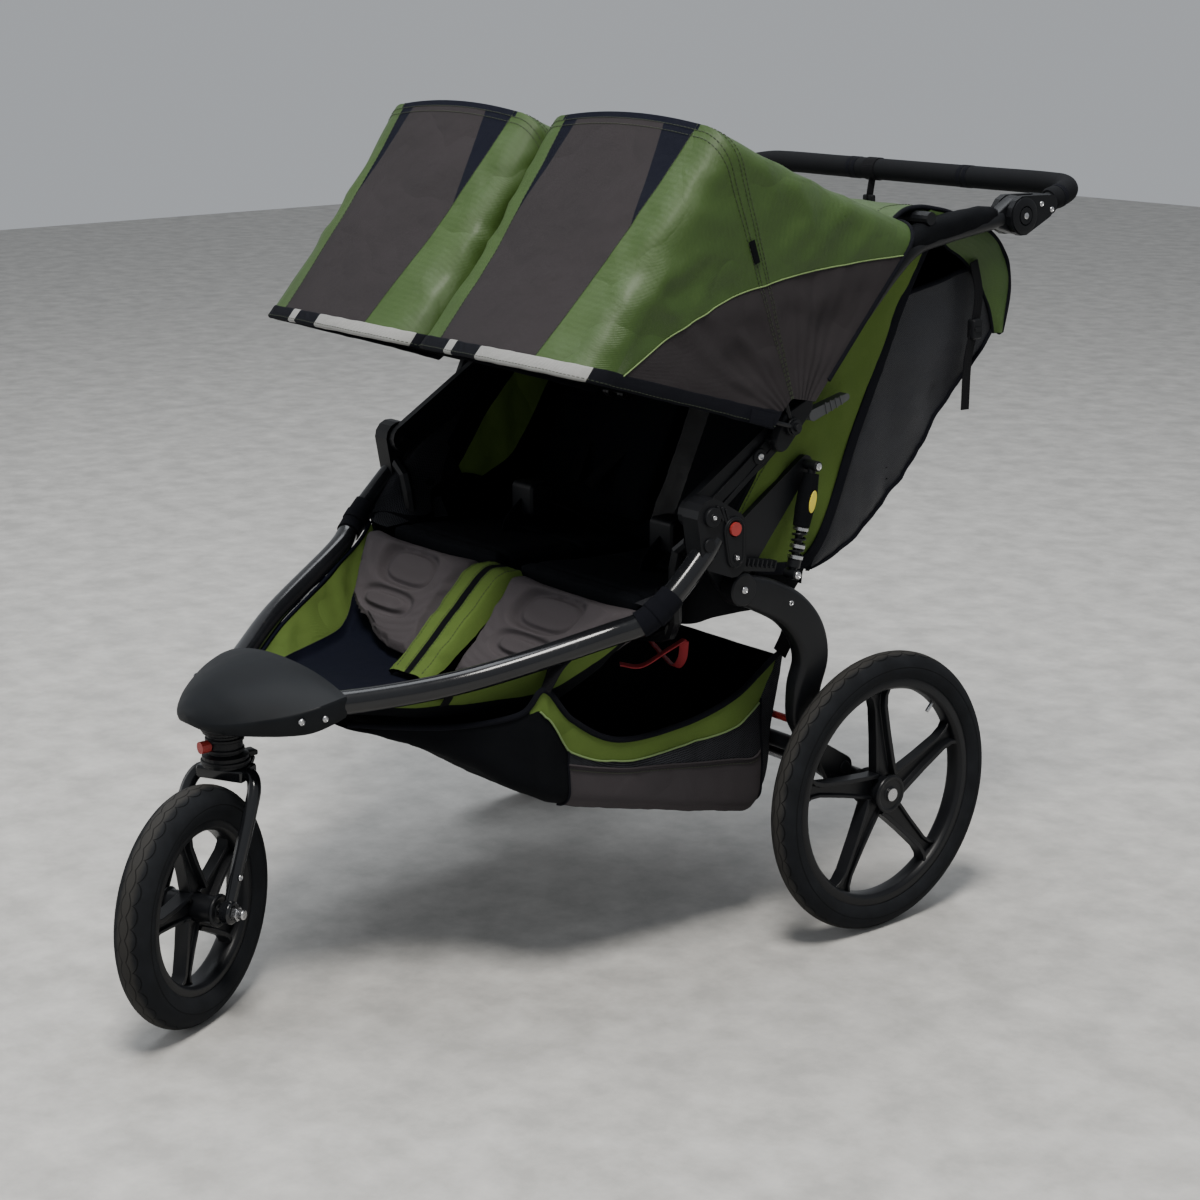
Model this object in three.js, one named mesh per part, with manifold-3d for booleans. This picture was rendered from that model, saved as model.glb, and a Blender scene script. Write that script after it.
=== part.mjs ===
// Jogging stroller with two seats side by side, in millimetres: +Z up, -Y forward, +X to the
// rider's left. The origin is on the ground, in the middle of the stroller's length and width.
// Every left-hand piece is drawn at +X, and its right-hand twin is its mirror image.
import * as THREE from "three";
import { mergeVertices } from "three/addons/utils/BufferGeometryUtils.js";
import Module from "manifold-3d";

const wasm = await Module();
wasm.setup();

// ---- Driving dimensions ----
const GAP = 0.3; // clearance between neighbouring pieces
const PIN_GAP = 0.4; // running clearance round a pin

const REAR_WHEEL_RADIUS = 197.7;
const REAR_WHEEL_X = 371;
const REAR_AXLE_Y = 300;
const FRONT_WHEEL_RADIUS = 155.4;
const SWIVEL_Y = -512;
const CASTER_LEAD = 89; // how far the turned caster holds its axle ahead of the swivel
const CASTER_TURN = THREE.MathUtils.degToRad(27.5);

const FRAME_TUBE_RADIUS = 15.5;
const UPPER_TUBE_RADIUS = 13;
const FOLD_PIVOT = [-6, 628]; // y and z of the hinge that the upper frame folds on
const CHASSIS_PIVOT = [34, 556]; // where the rear chassis folds
const ARM_PIVOT = [60, 520]; // where the suspension arm swings
const SHOCK_TOP = [190, 665];
const SHOCK_FOOT = [155, 524];
const CANOPY_PIVOT = [139, 725];
const HANDLE_PIVOT = [577, 965];
const BRAKE_ROD = [207, 299];
const HANDLE_BAR_Y = 717;
const HANDLE_BAR_Z = 996;

const FABRIC = 3; // thickness of the fabric shells
const CANOPY_OUTER_X = 366;
const CANOPY_INNER_X = 5.7;
const CANOPY_CORNER = 46;
const CANOPY_CROWN = 10;
// Each canopy is stretched over three lines, given by angle above +Y and reach from its pivot.
const CANOPY_REAR = { angle: 48, reach: 330 };
const CANOPY_RIDGE = { angle: 108.6, reach: 408 };
const CANOPY_VISOR = { angle: 163.3, reach: 372 };
const BOW_RADIUS = 3;

// ---- Finishes: colour, roughness, metalness ----
const FINISH = {
  glossBlack: ["#0b0c0e", 0.22, 0.4],
  satinBlack: ["#15161a", 0.45, 0.3],
  moulded: ["#1a1b1e", 0.6, 0],
  foam: ["#1b1c20", 0.85, 0],
  tyre: ["#24272b", 0.8, 0],
  steel: ["#a9abad", 0.3, 1],
  red: ["#a3221f", 0.45, 0],
  grayPlastic: ["#55585c", 0.5, 0],
  green: ["#6f8a4a", 0.75, 0],
  coatedGreen: ["#567c37", 0.4, 0],
  gray: ["#565052", 0.85, 0],
  black: ["#14151a", 0.9, 0],
};

const stroller = new THREE.Group();

// ---- Solids ----
function toSolid(geometry) {
  const bare = new THREE.BufferGeometry();
  bare.setAttribute("position", geometry.getAttribute("position").clone());
  if (geometry.index) bare.setIndex(geometry.index.clone());
  const merged = mergeVertices(bare, 1e-3);
  const index = merged.index.array;
  const triangles = [];
  for (let i = 0; i < index.length; i += 3) {
    const [a, b, c] = [index[i], index[i + 1], index[i + 2]];
    if (a !== b && b !== c && c !== a) triangles.push([a, b, c]);
  }
  const build = (faces) =>
    new wasm.Manifold(
      new wasm.Mesh({
        numProp: 3,
        vertProperties: new Float32Array(merged.attributes.position.array),
        triVerts: new Uint32Array(faces.flat()),
      }),
    );
  const solid = build(triangles);
  return solid.volume() > 0 ? solid : build(triangles.map((face) => face.reverse()));
}

function fromSolid(solid) {
  const mesh = solid.getMesh();
  const geometry = new THREE.BufferGeometry();
  geometry.setAttribute("position", new THREE.BufferAttribute(mesh.vertProperties, 3));
  geometry.setIndex(new THREE.BufferAttribute(mesh.triVerts, 1));
  geometry.computeVertexNormals();
  return geometry;
}

function join(...pieces) {
  return fromSolid(pieces.map(toSolid).reduce((whole, piece) => whole.add(piece)));
}

function cut(base, ...tools) {
  return fromSolid(tools.map(toSolid).reduce((rest, tool) => rest.subtract(tool), toSolid(base)));
}

function mirrored(geometry) {
  const copy = geometry.clone().scale(-1, 1, 1);
  return fromSolid(toSolid(copy));
}

function add(name, geometry, finish, parent = stroller) {
  const [color, roughness, metalness] = FINISH[finish];
  const material = new THREE.MeshStandardMaterial({ color, roughness, metalness });
  const mesh = new THREE.Mesh(fromSolid(toSolid(geometry)), material);
  mesh.name = name;
  parent.add(mesh);
  return mesh;
}

// Adds a piece drawn on the left and its mirror image on the right.
function addPair(name, geometry, finish) {
  add(`left_${name}`, geometry, finish);
  add(`right_${name}`, mirrored(geometry), finish);
}

// ---- Basic shapes ----
function box(x0, x1, y0, y1, z0, z1) {
  const geometry = new THREE.BoxGeometry(x1 - x0, y1 - y0, z1 - z0);
  return geometry.translate((x0 + x1) / 2, (y0 + y1) / 2, (z0 + z1) / 2);
}

// A cylinder between two points.
function rod(start, end, radius, sides = 12) {
  const from = new THREE.Vector3(...start);
  const to = new THREE.Vector3(...end);
  const along = to.clone().sub(from);
  const geometry = new THREE.CylinderGeometry(radius, radius, along.length(), sides);
  const turn = new THREE.Quaternion().setFromUnitVectors(
    new THREE.Vector3(0, 1, 0),
    along.clone().normalize(),
  );
  return geometry.applyQuaternion(turn).translate(...from.add(to).multiplyScalar(0.5).toArray());
}

function rodX(x0, x1, [y, z], radius, sides = 12) {
  return rod([x0, y, z], [x1, y, z], radius, sides);
}

function outlineShape(points) {
  return new THREE.Shape(points.map(([u, v]) => new THREE.Vector2(u, v)));
}

// A tube of round section along a smooth line through points.
function tube(points, radius, { sides = 12, steps = 20 } = {}) {
  const curve = new THREE.CatmullRomCurve3(
    points.map((point) => new THREE.Vector3(...point)),
    false,
    "centripetal",
  );
  const section = [];
  for (let i = 0; i < sides; i++) {
    const turn = (2 * Math.PI * i) / sides;
    section.push([radius * Math.cos(turn), radius * Math.sin(turn)]);
  }
  return new THREE.ExtrudeGeometry(outlineShape(section), { steps, extrudePath: curve });
}

// A flat plate: an outline in y and z, extruded along X.
function plate(outline, x0, x1) {
  const geometry = new THREE.ExtrudeGeometry(outlineShape(outline), {
    depth: x1 - x0,
    bevelEnabled: false,
  });
  const axes = new THREE.Matrix4().makeBasis(
    new THREE.Vector3(0, 1, 0),
    new THREE.Vector3(0, 0, 1),
    new THREE.Vector3(1, 0, 0),
  );
  return geometry.applyMatrix4(axes).translate(x0, 0, 0);
}

// The outline stretched round circles given as [y, z, radius].
function around(circles, sides = 14) {
  const points = [];
  for (const [y, z, radius] of circles) {
    for (let i = 0; i < sides; i++) {
      const turn = (2 * Math.PI * i) / sides;
      points.push([y + radius * Math.cos(turn), z + radius * Math.sin(turn)]);
    }
  }
  points.sort((a, b) => a[0] - b[0] || a[1] - b[1]);
  const side = (list) => {
    const hull = [];
    for (const point of list) {
      while (hull.length > 1) {
        const [a, b] = hull.slice(-2);
        const bend = (b[0] - a[0]) * (point[1] - a[1]) - (b[1] - a[1]) * (point[0] - a[0]);
        if (bend > 1e-6) break;
        hull.pop();
      }
      hull.push(point);
    }
    return hull.slice(0, -1);
  };
  return [...side(points), ...side([...points].reverse())];
}

// A body of revolution about X, from a closed profile of [radius, x] points.
function turned(profile, segments = 40) {
  const points = profile.map(([radius, x]) => new THREE.Vector2(radius, x));
  const closes = profile[0][0] === 0 && profile[profile.length - 1][0] === 0;
  if (!closes) points.push(points[0].clone());
  return new THREE.LatheGeometry(points, segments).rotateZ(-Math.PI / 2);
}

// A shell of even thickness on one side of a grid of points.
function shell(grid, thickness, side) {
  const rows = grid.length;
  const columns = grid[0].length;
  const at = (i, j) =>
    grid[Math.min(Math.max(i, 0), rows - 1)][Math.min(Math.max(j, 0), columns - 1)];
  const vertices = [];
  for (const layer of [0, 1]) {
    for (let i = 0; i < rows; i++) {
      for (let j = 0; j < columns; j++) {
        const alongRows = new THREE.Vector3(...at(i + 1, j)).sub(new THREE.Vector3(...at(i - 1, j)));
        const across = new THREE.Vector3(...at(i, j + 1)).sub(new THREE.Vector3(...at(i, j - 1)));
        const normal = alongRows.cross(across).normalize();
        const move = layer * side * thickness;
        const point = new THREE.Vector3(...at(i, j)).addScaledVector(normal, move);
        vertices.push(...point.toArray());
      }
    }
  }
  const id = (layer, i, j) => (layer * rows + i) * columns + j;
  const faces = [];
  const quad = (a, b, c, d) => faces.push(a, b, c, a, c, d);
  for (let i = 0; i + 1 < rows; i++) {
    for (let j = 0; j + 1 < columns; j++) {
      quad(id(0, i, j), id(0, i, j + 1), id(0, i + 1, j + 1), id(0, i + 1, j));
      quad(id(1, i, j), id(1, i + 1, j), id(1, i + 1, j + 1), id(1, i, j + 1));
    }
  }
  for (let i = 0; i + 1 < rows; i++) {
    quad(id(0, i, 0), id(0, i + 1, 0), id(1, i + 1, 0), id(1, i, 0));
    const last = columns - 1;
    quad(id(0, i + 1, last), id(0, i, last), id(1, i, last), id(1, i + 1, last));
  }
  for (let j = 0; j + 1 < columns; j++) {
    quad(id(0, 0, j + 1), id(0, 0, j), id(1, 0, j), id(1, 0, j + 1));
    const last = rows - 1;
    quad(id(0, last, j), id(0, last, j + 1), id(1, last, j + 1), id(1, last, j));
  }
  const geometry = new THREE.BufferGeometry();
  geometry.setAttribute("position", new THREE.Float32BufferAttribute(vertices, 3));
  geometry.setIndex(faces);
  return geometry;
}

// ---- Wheels, each drawn about the X axis ----
const WHEEL_SEGMENTS = 40;

function tyre(radius, section, base) {
  const middle = radius - section;
  const start = Math.acos((base - middle) / section);
  const steps = 8;
  const profile = [];
  for (let i = 0; i <= steps; i++) {
    const turn = -start + (2 * start * i) / steps;
    profile.push([middle + section * Math.cos(turn), section * Math.sin(turn)]);
  }
  return turned(profile, WHEEL_SEGMENTS);
}

function rim({ radius, depth, halfWidth, hubRadius, hubInner, hubOuter, bore, phase }) {
  const inner = radius - depth;
  const ring = turned([
    [inner, 3 - halfWidth],
    [radius, -halfWidth],
    [radius, halfWidth],
    [inner, halfWidth - 3],
  ], WHEEL_SEGMENTS);
  const hub = rodX(hubInner, hubOuter, [0, 0], hubRadius, 20);
  const spokes = [];
  const count = 5;
  const spokeOffset = 7;
  const spokeDepth = 9;
  for (let i = 0; i < count; i++) {
    const blade = plate(
      [
        [spokeOffset - 14, hubRadius / 2],
        [spokeOffset + 12, hubRadius / 2],
        [spokeOffset + 9, inner + 2],
        [spokeOffset - 9, inner + 2],
      ],
      -spokeDepth,
      spokeDepth,
    );
    spokes.push(blade.rotateX(phase + (2 * Math.PI * i) / count));
  }
  const axleHole = rodX(hubInner - 1, hubOuter + 1, [0, 0], bore, 16);
  return cut(join(ring, hub, ...spokes), axleHole);
}

const REAR_RIM_RADIUS = 162.6;
const REAR_TYRE_SECTION = 21;
const REAR_AXLE_RADIUS = 6;
const FRONT_RIM_RADIUS = 113;
const FRONT_TYRE_SECTION = 25;
const FRONT_AXLE_RADIUS = 5;

function rearWheels() {
  for (const [side, sign] of [["left", 1], ["right", -1]]) {
    const wheel = new THREE.Group();
    wheel.position.set(sign * REAR_WHEEL_X, REAR_AXLE_Y, REAR_WHEEL_RADIUS);
    const rubber = tyre(REAR_WHEEL_RADIUS, REAR_TYRE_SECTION, REAR_RIM_RADIUS + GAP);
    const hubs = sign > 0 ? [-31, 22] : [-22, 31];
    const disc = rim({
      radius: REAR_RIM_RADIUS,
      depth: 15,
      halfWidth: 15,
      hubRadius: 27,
      hubInner: hubs[0],
      hubOuter: hubs[1],
      bore: REAR_AXLE_RADIUS + PIN_GAP,
      phase: sign * 0.12,
    });
    add(`${side}_rear_tyre`, rubber, "tyre", wheel);
    add(`${side}_rear_rim`, disc, "moulded", wheel);
    stroller.add(wheel);
  }
  const reach = REAR_WHEEL_X + 25;
  const cap = REAR_WHEEL_X + 22.5;
  const axle = turned([
    [0, -reach],
    [9, -reach],
    [9, -cap],
    [REAR_AXLE_RADIUS, -cap],
    [REAR_AXLE_RADIUS, cap],
    [9, cap],
    [9, reach],
    [0, reach],
  ], 16);
  add("rear_axle", axle.translate(0, REAR_AXLE_Y, REAR_WHEEL_RADIUS), "steel");
}

// ---- Caster: drawn pointing straight ahead, then turned about the swivel ----
function caster() {
  const group = new THREE.Group();
  group.position.set(0, SWIVEL_Y, 0);
  group.rotation.z = CASTER_TURN;
  const axleAt = [-CASTER_LEAD, FRONT_WHEEL_RADIUS];
  const legX = 50;
  const legRadius = 9;
  const leg = (sign) =>
    tube(
      [
        [sign * 22, 0, 307],
        [sign * 40, -3, 304],
        [sign * legX, -20, 280],
        [sign * legX, -62, 205],
        [sign * legX, axleAt[0], axleAt[1]],
      ],
      legRadius,
      { sides: 8, steps: 12 },
    );
  const dropout = (sign) => rodX(sign * (legX - 6), sign * (legX + legRadius), axleAt, 15);
  const crown = box(-34, 34, -19, 20, 300, 317);
  const steerer = rod([0, 0, 316], [0, 0, 358], 9);
  const fork = cut(
    join(crown, steerer, leg(1), leg(-1), dropout(1), dropout(-1)),
    rodX(-70, 70, axleAt, FRONT_AXLE_RADIUS + PIN_GAP),
  );
  add("front_fork", fork, "glossBlack", group);

  const nutInner = legX + legRadius + GAP;
  const nutOuter = 67;
  const leverPin = nutOuter + 5;
  const axle = turned([
    [0, -leverPin],
    [3, -leverPin],
    [3, -nutOuter],
    [9, -nutOuter],
    [9, -nutInner],
    [FRONT_AXLE_RADIUS, -nutInner],
    [FRONT_AXLE_RADIUS, nutInner],
    [9, nutInner],
    [9, nutOuter],
    [0, nutOuter],
  ], 14);
  add("front_axle", axle.translate(0, ...axleAt), "steel", group);

  const leverOutline = around([[...axleAt, 5], [axleAt[0], axleAt[1] + 52, 6]], 10);
  const lever = plate(leverOutline, -leverPin - 10, -leverPin - 3);
  add("quick_release_lever", lever, "grayPlastic", group);

  const wheel = new THREE.Group();
  wheel.position.set(0, ...axleAt);
  const rubber = tyre(FRONT_WHEEL_RADIUS, FRONT_TYRE_SECTION, FRONT_RIM_RADIUS + GAP);
  const disc = rim({
    radius: FRONT_RIM_RADIUS,
    depth: 13,
    halfWidth: 18,
    hubRadius: 22,
    hubInner: -39,
    hubOuter: 39,
    bore: FRONT_AXLE_RADIUS + PIN_GAP,
    phase: 0.3,
  });
  add("front_tyre", rubber, "tyre", wheel);
  add("front_rim", disc, "moulded", wheel);
  group.add(wheel);
  stroller.add(group);
}

// ---- Front frame ----
const FRAME_TUBE_LINE = [
  [62, -494, 405],
  [108, -433, 406],
  [216, -302, 434],
  [312, -128, 487],
  [334, -98, 500],
  [345, -68, 524],
  [348, -9, 578],
  [347, 8, 596],
];

function frameTube(extra = 0) {
  return tube(FRAME_TUBE_LINE, FRAME_TUBE_RADIUS + extra, { sides: 10, steps: 24 });
}

function frontFrame() {
  addPair("frame_tube", frameTube(), "glossBlack");

  // The nose: a rounded wedge over the tubes' front ends, drawn in plan and extruded upwards.
  const plan = [
    [-132, -438],
    [-118, -478],
    [-78, -530],
    [-34, -552],
    [0, -556],
  ];
  const whole = [...plan, ...plan.slice(0, -1).reverse().map(([x, y]) => [-x, y])];
  whole.push([70, -424], [-70, -424]);
  const nose = new THREE.ExtrudeGeometry(outlineShape(whole), {
    depth: 22,
    bevelThickness: 22,
    bevelSize: 10,
    bevelSegments: 3,
    curveSegments: 4,
  }).translate(0, 0, 396);
  add("nose_cap", cut(nose, frameTube(GAP), mirrored(frameTube(GAP))), "moulded");

  // The swivel housing hangs under the nose and holds the fork's steerer.
  const bore = 9 + PIN_GAP;
  const housing = turned([
    [bore, 317.5],
    [30, 317.5],
    [30, 331],
    [23, 334],
    [23, 358],
    [28, 361],
    [28, 373.5],
    [bore, 373.5],
  ], 24).rotateY(-Math.PI / 2);
  add("swivel_housing", housing.translate(0, SWIVEL_Y, 0), "satinBlack");
  const front = SWIVEL_Y - 23 - GAP;
  add("swivel_lock_knob", rod([0, front, 346], [0, front - 13, 346], 8), "red");

  // The hinge plates hold every fold pivot.
  const outline = around([
    [...FOLD_PIVOT, 24],
    [31, 608, 22],
    [CHASSIS_PIVOT[0], 563, 20],
    [-3, 575, 18],
  ]);
  const plateInner = 331;
  const plateOuter = 361;
  const pins = [FOLD_PIVOT, CHASSIS_PIVOT].map((at) => rodX(313, plateInner + 2, at, 8));
  const buttonAt = [31, 608];
  const pocket = rodX(349, plateOuter + 1, buttonAt, 9 + PIN_GAP);
  const hinge = cut(join(plate(outline, plateInner, plateOuter), ...pins), frameTube(GAP), pocket);
  addPair("hinge_plate", hinge, "moulded");
  addPair("hinge_button", rodX(354, 367, buttonAt, 9), "red");

  // The seat crossbar drops from both hinge plates and runs under the seats.
  const half = [
    [plateInner - 4, -15, 591],
    [316, -15, 588],
    [304, -15, 566],
    [296, -11, 510],
    [282, -2, 462],
    [240, 0, 446],
    [120, 0, 445],
  ];
  const full = [...half, ...half.map(([x, y, z]) => [-x, y, z]).reverse()];
  add("seat_crossbar", tube(full, 9, { sides: 8, steps: 34 }), "satinBlack");
}

// ---- Seats ----
function seats() {
  const cushion = [
    [-62, 478],
    [205, 466],
    [205, 498],
    [60, 504],
    [-62, 512],
  ];
  addPair("seat_cushion", plate(cushion, 22, 272), "black");
  const calf = [
    [-66, 480],
    [-66, 506],
    [-84, 506],
    [-186, 391],
    [-172, 380],
  ];
  // The calf pads narrow towards the footwell's floor.
  const calfTop = 506;
  const calfPad = plate(calf, 46, 292);
  const corners = calfPad.getAttribute("position");
  for (let i = 0; i < corners.count; i++) {
    const fall = calfTop - corners.getZ(i);
    if (corners.getX(i) > 100) corners.setX(i, corners.getX(i) - 0.62 * fall);
  }
  addPair("calf_pad", calfPad, "gray");
  const divider = [
    [-66, 484],
    [-66, 509],
    [-90, 509],
    [-228, 393],
    [-216, 380.5],
  ];
  add("footwell_divider", plate(divider, -42, 42), "green");

  const back = [
    [196, 512],
    [214, 505],
    [428, 954],
    [398, 957],
  ];
  addPair("seatback_pad", plate(back, 20, 306), "black");
  // The storage pocket behind each seat back is open at the top.
  const pocketOuter = [
    [222, 512],
    [300, 545],
    [400, 622],
    [515, 752],
    [575, 815],
    [560, 900],
    [500, 948],
    [436, 956],
  ];
  const pocketInner = [
    [230, 521],
    [299, 550],
    [397, 626],
    [511, 756],
    [571, 817],
    [556, 898],
    [500, 1000],
    [465, 1000],
  ];
  const pocket = cut(plate(pocketOuter, 22, 304), plate(pocketInner, 22 + FABRIC, 304 - FABRIC));
  addPair("back_pocket", pocket, "black");

  // The fabric sides between the upper tubes and the seat backs.
  const side = [
    [72, 612],
    [110, 532],
    [214, 526],
    [424, 950],
    [372, 920],
    [128, 684],
  ];
  addPair("seat_side_panel", plate(side, 311, 311 + FABRIC), "green");
}

// ---- Footwell: a tub slung between the front tubes ----
// Each row is a y with the half-width and height of the top edge and of the floor's edge.
const FOOTWELL_ROWS = [
  { y: -104, top: [306, 484], floor: [272, 376] },
  { y: -190, top: [260, 455], floor: [214, 373] },
  { y: -300, top: [199, 422], floor: [158, 376] },
  { y: -390, top: [124, 402], floor: [98, 385] },
  { y: -406, top: [112, 400], floor: [90, 388] },
];

function footwell() {
  const grid = FOOTWELL_ROWS.map(({ y, top, floor }) => {
    const left = [
      [top[0], y, top[1]],
      [floor[0] + 16, y, floor[1] + 14],
      [floor[0], y, floor[1]],
      [floor[0] / 2, y, floor[1] - 1],
    ];
    return [...left, [0, y, floor[1] - 1], ...left.map(([x, , z]) => [-x, y, z]).reverse()];
  });
  add("footwell", shell(grid, FABRIC, 1), "black");
}

// ---- Basket: a sling under the seats, open above, that narrows to a nose ----
const BASKET_ROWS = [
  { y: -388, half: 96, top: 367, floor: 361 },
  { y: -300, half: 186, top: 368, floor: 328 },
  { y: -236, half: 256, top: 388, floor: 290 },
  { y: -208, half: 274, top: 420, floor: 272 },
  { y: -165, half: 276, top: 372, floor: 254 },
  { y: -90, half: 277, top: 330, floor: 233 },
  { y: 20, half: 277, top: 328, floor: 206 },
  { y: 110, half: 276, top: 346, floor: 183 },
  { y: 160, half: 275, top: 372, floor: 178 },
  { y: 186, half: 273, top: 387, floor: 262 },
  { y: 206, half: 270, top: 394, floor: 386 },
];

function basket() {
  const grid = BASKET_ROWS.map(({ y, half, top, floor }) => {
    const corner = Math.min(26, (top - floor) / 2);
    const left = [
      [half, y, top],
      [half, y, floor + corner],
      [half - corner, y, floor],
      [half / 2, y, floor],
    ];
    return [...left, ...left.map(([x, , z]) => [-x, y, z]).reverse()];
  });
  add("storage_basket", shell(grid, FABRIC, 1), "gray");
}

// ---- Upper frame ----
const UPPER_TUBE_LINE = [
  [335, 118, 700],
  [335, 175, 755],
  [335, 340, 914],
  [335, 376, 937],
  [334, 425, 947],
  [330, 545, 962],
];

function upperTube(extra = 0) {
  return tube(UPPER_TUBE_LINE, UPPER_TUBE_RADIUS + extra, { sides: 10, steps: 18 });
}

function upperFrame() {
  const core = plate(around([[...HANDLE_PIVOT, 27], [538, 961, 10]], 20), 320.3, 339.7);
  const canopyPin = rodX(340, 366, CANOPY_PIVOT, 5);
  addPair("upper_tube", join(upperTube(), core, canopyPin), "satinBlack");

  const bar = plate(around([[...FOLD_PIVOT, 20], [100, 688, 19], [176, 742, 17]]), 318, 330);
  const link = cut(bar, upperTube(GAP), rodX(310, 340, FOLD_PIVOT, 8 + PIN_GAP));
  addPair("upper_link", link, "moulded");

  const lever = plate(around([[186, 733, 8], [246, 750, 5]], 12), 330 + GAP, 344);
  addPair("fold_release_lever", lever, "grayPlastic");

  // The cross brace lies on both tubes, and its spine holds the canopies' inner pivots.
  const braceAt = [395, 973];
  const spineTop = [0, 388, 968];
  const brace = join(
    rodX(-346, 346, braceAt, 9),
    rod(spineTop, [0, ...CANOPY_PIVOT], 5),
    rodX(-24, 24, CANOPY_PIVOT, 4),
  );
  add("canopy_cross_brace", brace, "satinBlack");
}

// ---- Handlebar ----
function handlebarLine(start) {
  const half = [
    [330, start, HANDLE_PIVOT[1] + (start - HANDLE_PIVOT[0]) * 0.222],
    [330, 668, 985.2],
    [323, 694, 991],
    [302, 712, 995],
    [270, HANDLE_BAR_Y, HANDLE_BAR_Z],
    [150, HANDLE_BAR_Y, HANDLE_BAR_Z],
  ];
  return [...half, ...half.map(([x, y, z]) => [-x, y, z]).reverse()];
}

function handlebar() {
  const coreRadius = 11;
  const core = tube(handlebarLine(612.5), coreRadius, { sides: 8, steps: 30 });
  add("handlebar_tube", core, "satinBlack");
  const grip = tube(handlebarLine(649), 16.5, { sides: 10, steps: 28 });
  const hole = tube(handlebarLine(612), coreRadius + GAP, { sides: 8, steps: 30 });
  add("handlebar_grip", cut(grip, hole), "foam");

  // Each tilt joint grips the end of its upper tube between two cheeks.
  const cheekEdges = [[310, 320], [340, 349]];
  const cheeks = cheekEdges.map(([x0, x1]) =>
    plate(around([[...HANDLE_PIVOT, 27.5], [622, 974, 17]]), x0, x1),
  );
  const block = plate(around([[619, 974, 14], [632, 977, 14]], 12), 310, 349);
  const buttonHole = rodX(339, 350, HANDLE_PIVOT, 12 + PIN_GAP);
  const joint = cut(join(...cheeks, block), buttonHole, hole);
  addPair("handlebar_joint", joint, "moulded");
  addPair("handlebar_button", rodX(344, 353, HANDLE_PIVOT, 12), "moulded");
}

// ---- Canopies ----
// A line across a canopy at one angle: up the outer leg, over the top and down the inner leg.
function arch({ angle, reach }, outerX, innerX, inset, start) {
  const turn = THREE.MathUtils.degToRad(angle);
  const top = reach - inset;
  const corner = CANOPY_CORNER;
  const flat = outerX - innerX - 2 * corner;
  const rise = (share) => [
    outerX - corner - share * flat,
    top + CANOPY_CROWN * (1 - (2 * share - 1) ** 2),
  ];
  const quarter = corner * (1 - Math.SQRT1_2);
  const line = [
    [outerX, start],
    [outerX, top - 2 * corner],
    [outerX, top - corner],
    [outerX - quarter, top - quarter],
    ...[0, 0.25, 0.5, 0.75, 1].map(rise),
    [innerX + quarter, top - quarter],
    [innerX, top - corner],
    [innerX, top - 2 * corner],
    [innerX, start],
  ];
  return line.map(([x, s]) => [
    x,
    CANOPY_PIVOT[0] + s * Math.cos(turn),
    CANOPY_PIVOT[1] + s * Math.sin(turn),
  ]);
}

// The stretched panel between two lines, trimmed a little at each end.
function canopyPanel(from, to, trim) {
  const start = 42;
  const first = arch(from, CANOPY_OUTER_X, CANOPY_INNER_X, 0, start);
  const last = arch(to, CANOPY_OUTER_X, CANOPY_INNER_X, 0, start);
  const spans = 3;
  const grid = [];
  for (let i = 0; i <= spans; i++) {
    const share = trim[0] + ((1 - trim[0] - trim[1]) * i) / spans;
    grid.push(first.map((a, j) => a.map((value, k) => value + (last[j][k] - value) * share)));
  }
  return shell(grid, FABRIC, 1);
}

function bow(line, outerX, innerX) {
  const path = tube(arch(line, outerX, innerX, FABRIC + BOW_RADIUS + 2.5, 8), BOW_RADIUS, {
    sides: 6,
    steps: 24,
  });
  const eyes = [outerX, innerX].map((x) => rodX(x - 2.8, x + 2.8, CANOPY_PIVOT, 10, 10));
  const holes = [
    rodX(outerX - 5, outerX + 5, CANOPY_PIVOT, 5 + PIN_GAP),
    rodX(innerX - 5, innerX + 5, CANOPY_PIVOT, 4 + PIN_GAP),
  ];
  return cut(join(path, ...eyes), ...holes);
}

function canopies() {
  addPair("canopy_mid_bow", bow(CANOPY_RIDGE, 352, 12.5), "satinBlack");
  addPair("canopy_front_bow", bow(CANOPY_VISOR, 358.5, 19), "satinBlack");
  const endTrim = 0.009;
  addPair("canopy_rear_panel", canopyPanel(CANOPY_REAR, CANOPY_RIDGE, [0, endTrim]), "coatedGreen");
  addPair("canopy_front_panel", canopyPanel(CANOPY_RIDGE, CANOPY_VISOR, [endTrim, 0]), "gray");
}

// ---- Rear chassis and suspension ----
const ARM_LINE = [
  [340, ...ARM_PIVOT],
  [340, 105, 503],
  [341, 150, 477],
  [341, 181, 440],
  [339, 192, 402],
  [333, 187, 362],
  [326, 193, 310],
  [321, 232, 247],
  [320, REAR_AXLE_Y, REAR_WHEEL_RADIUS],
];

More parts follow.
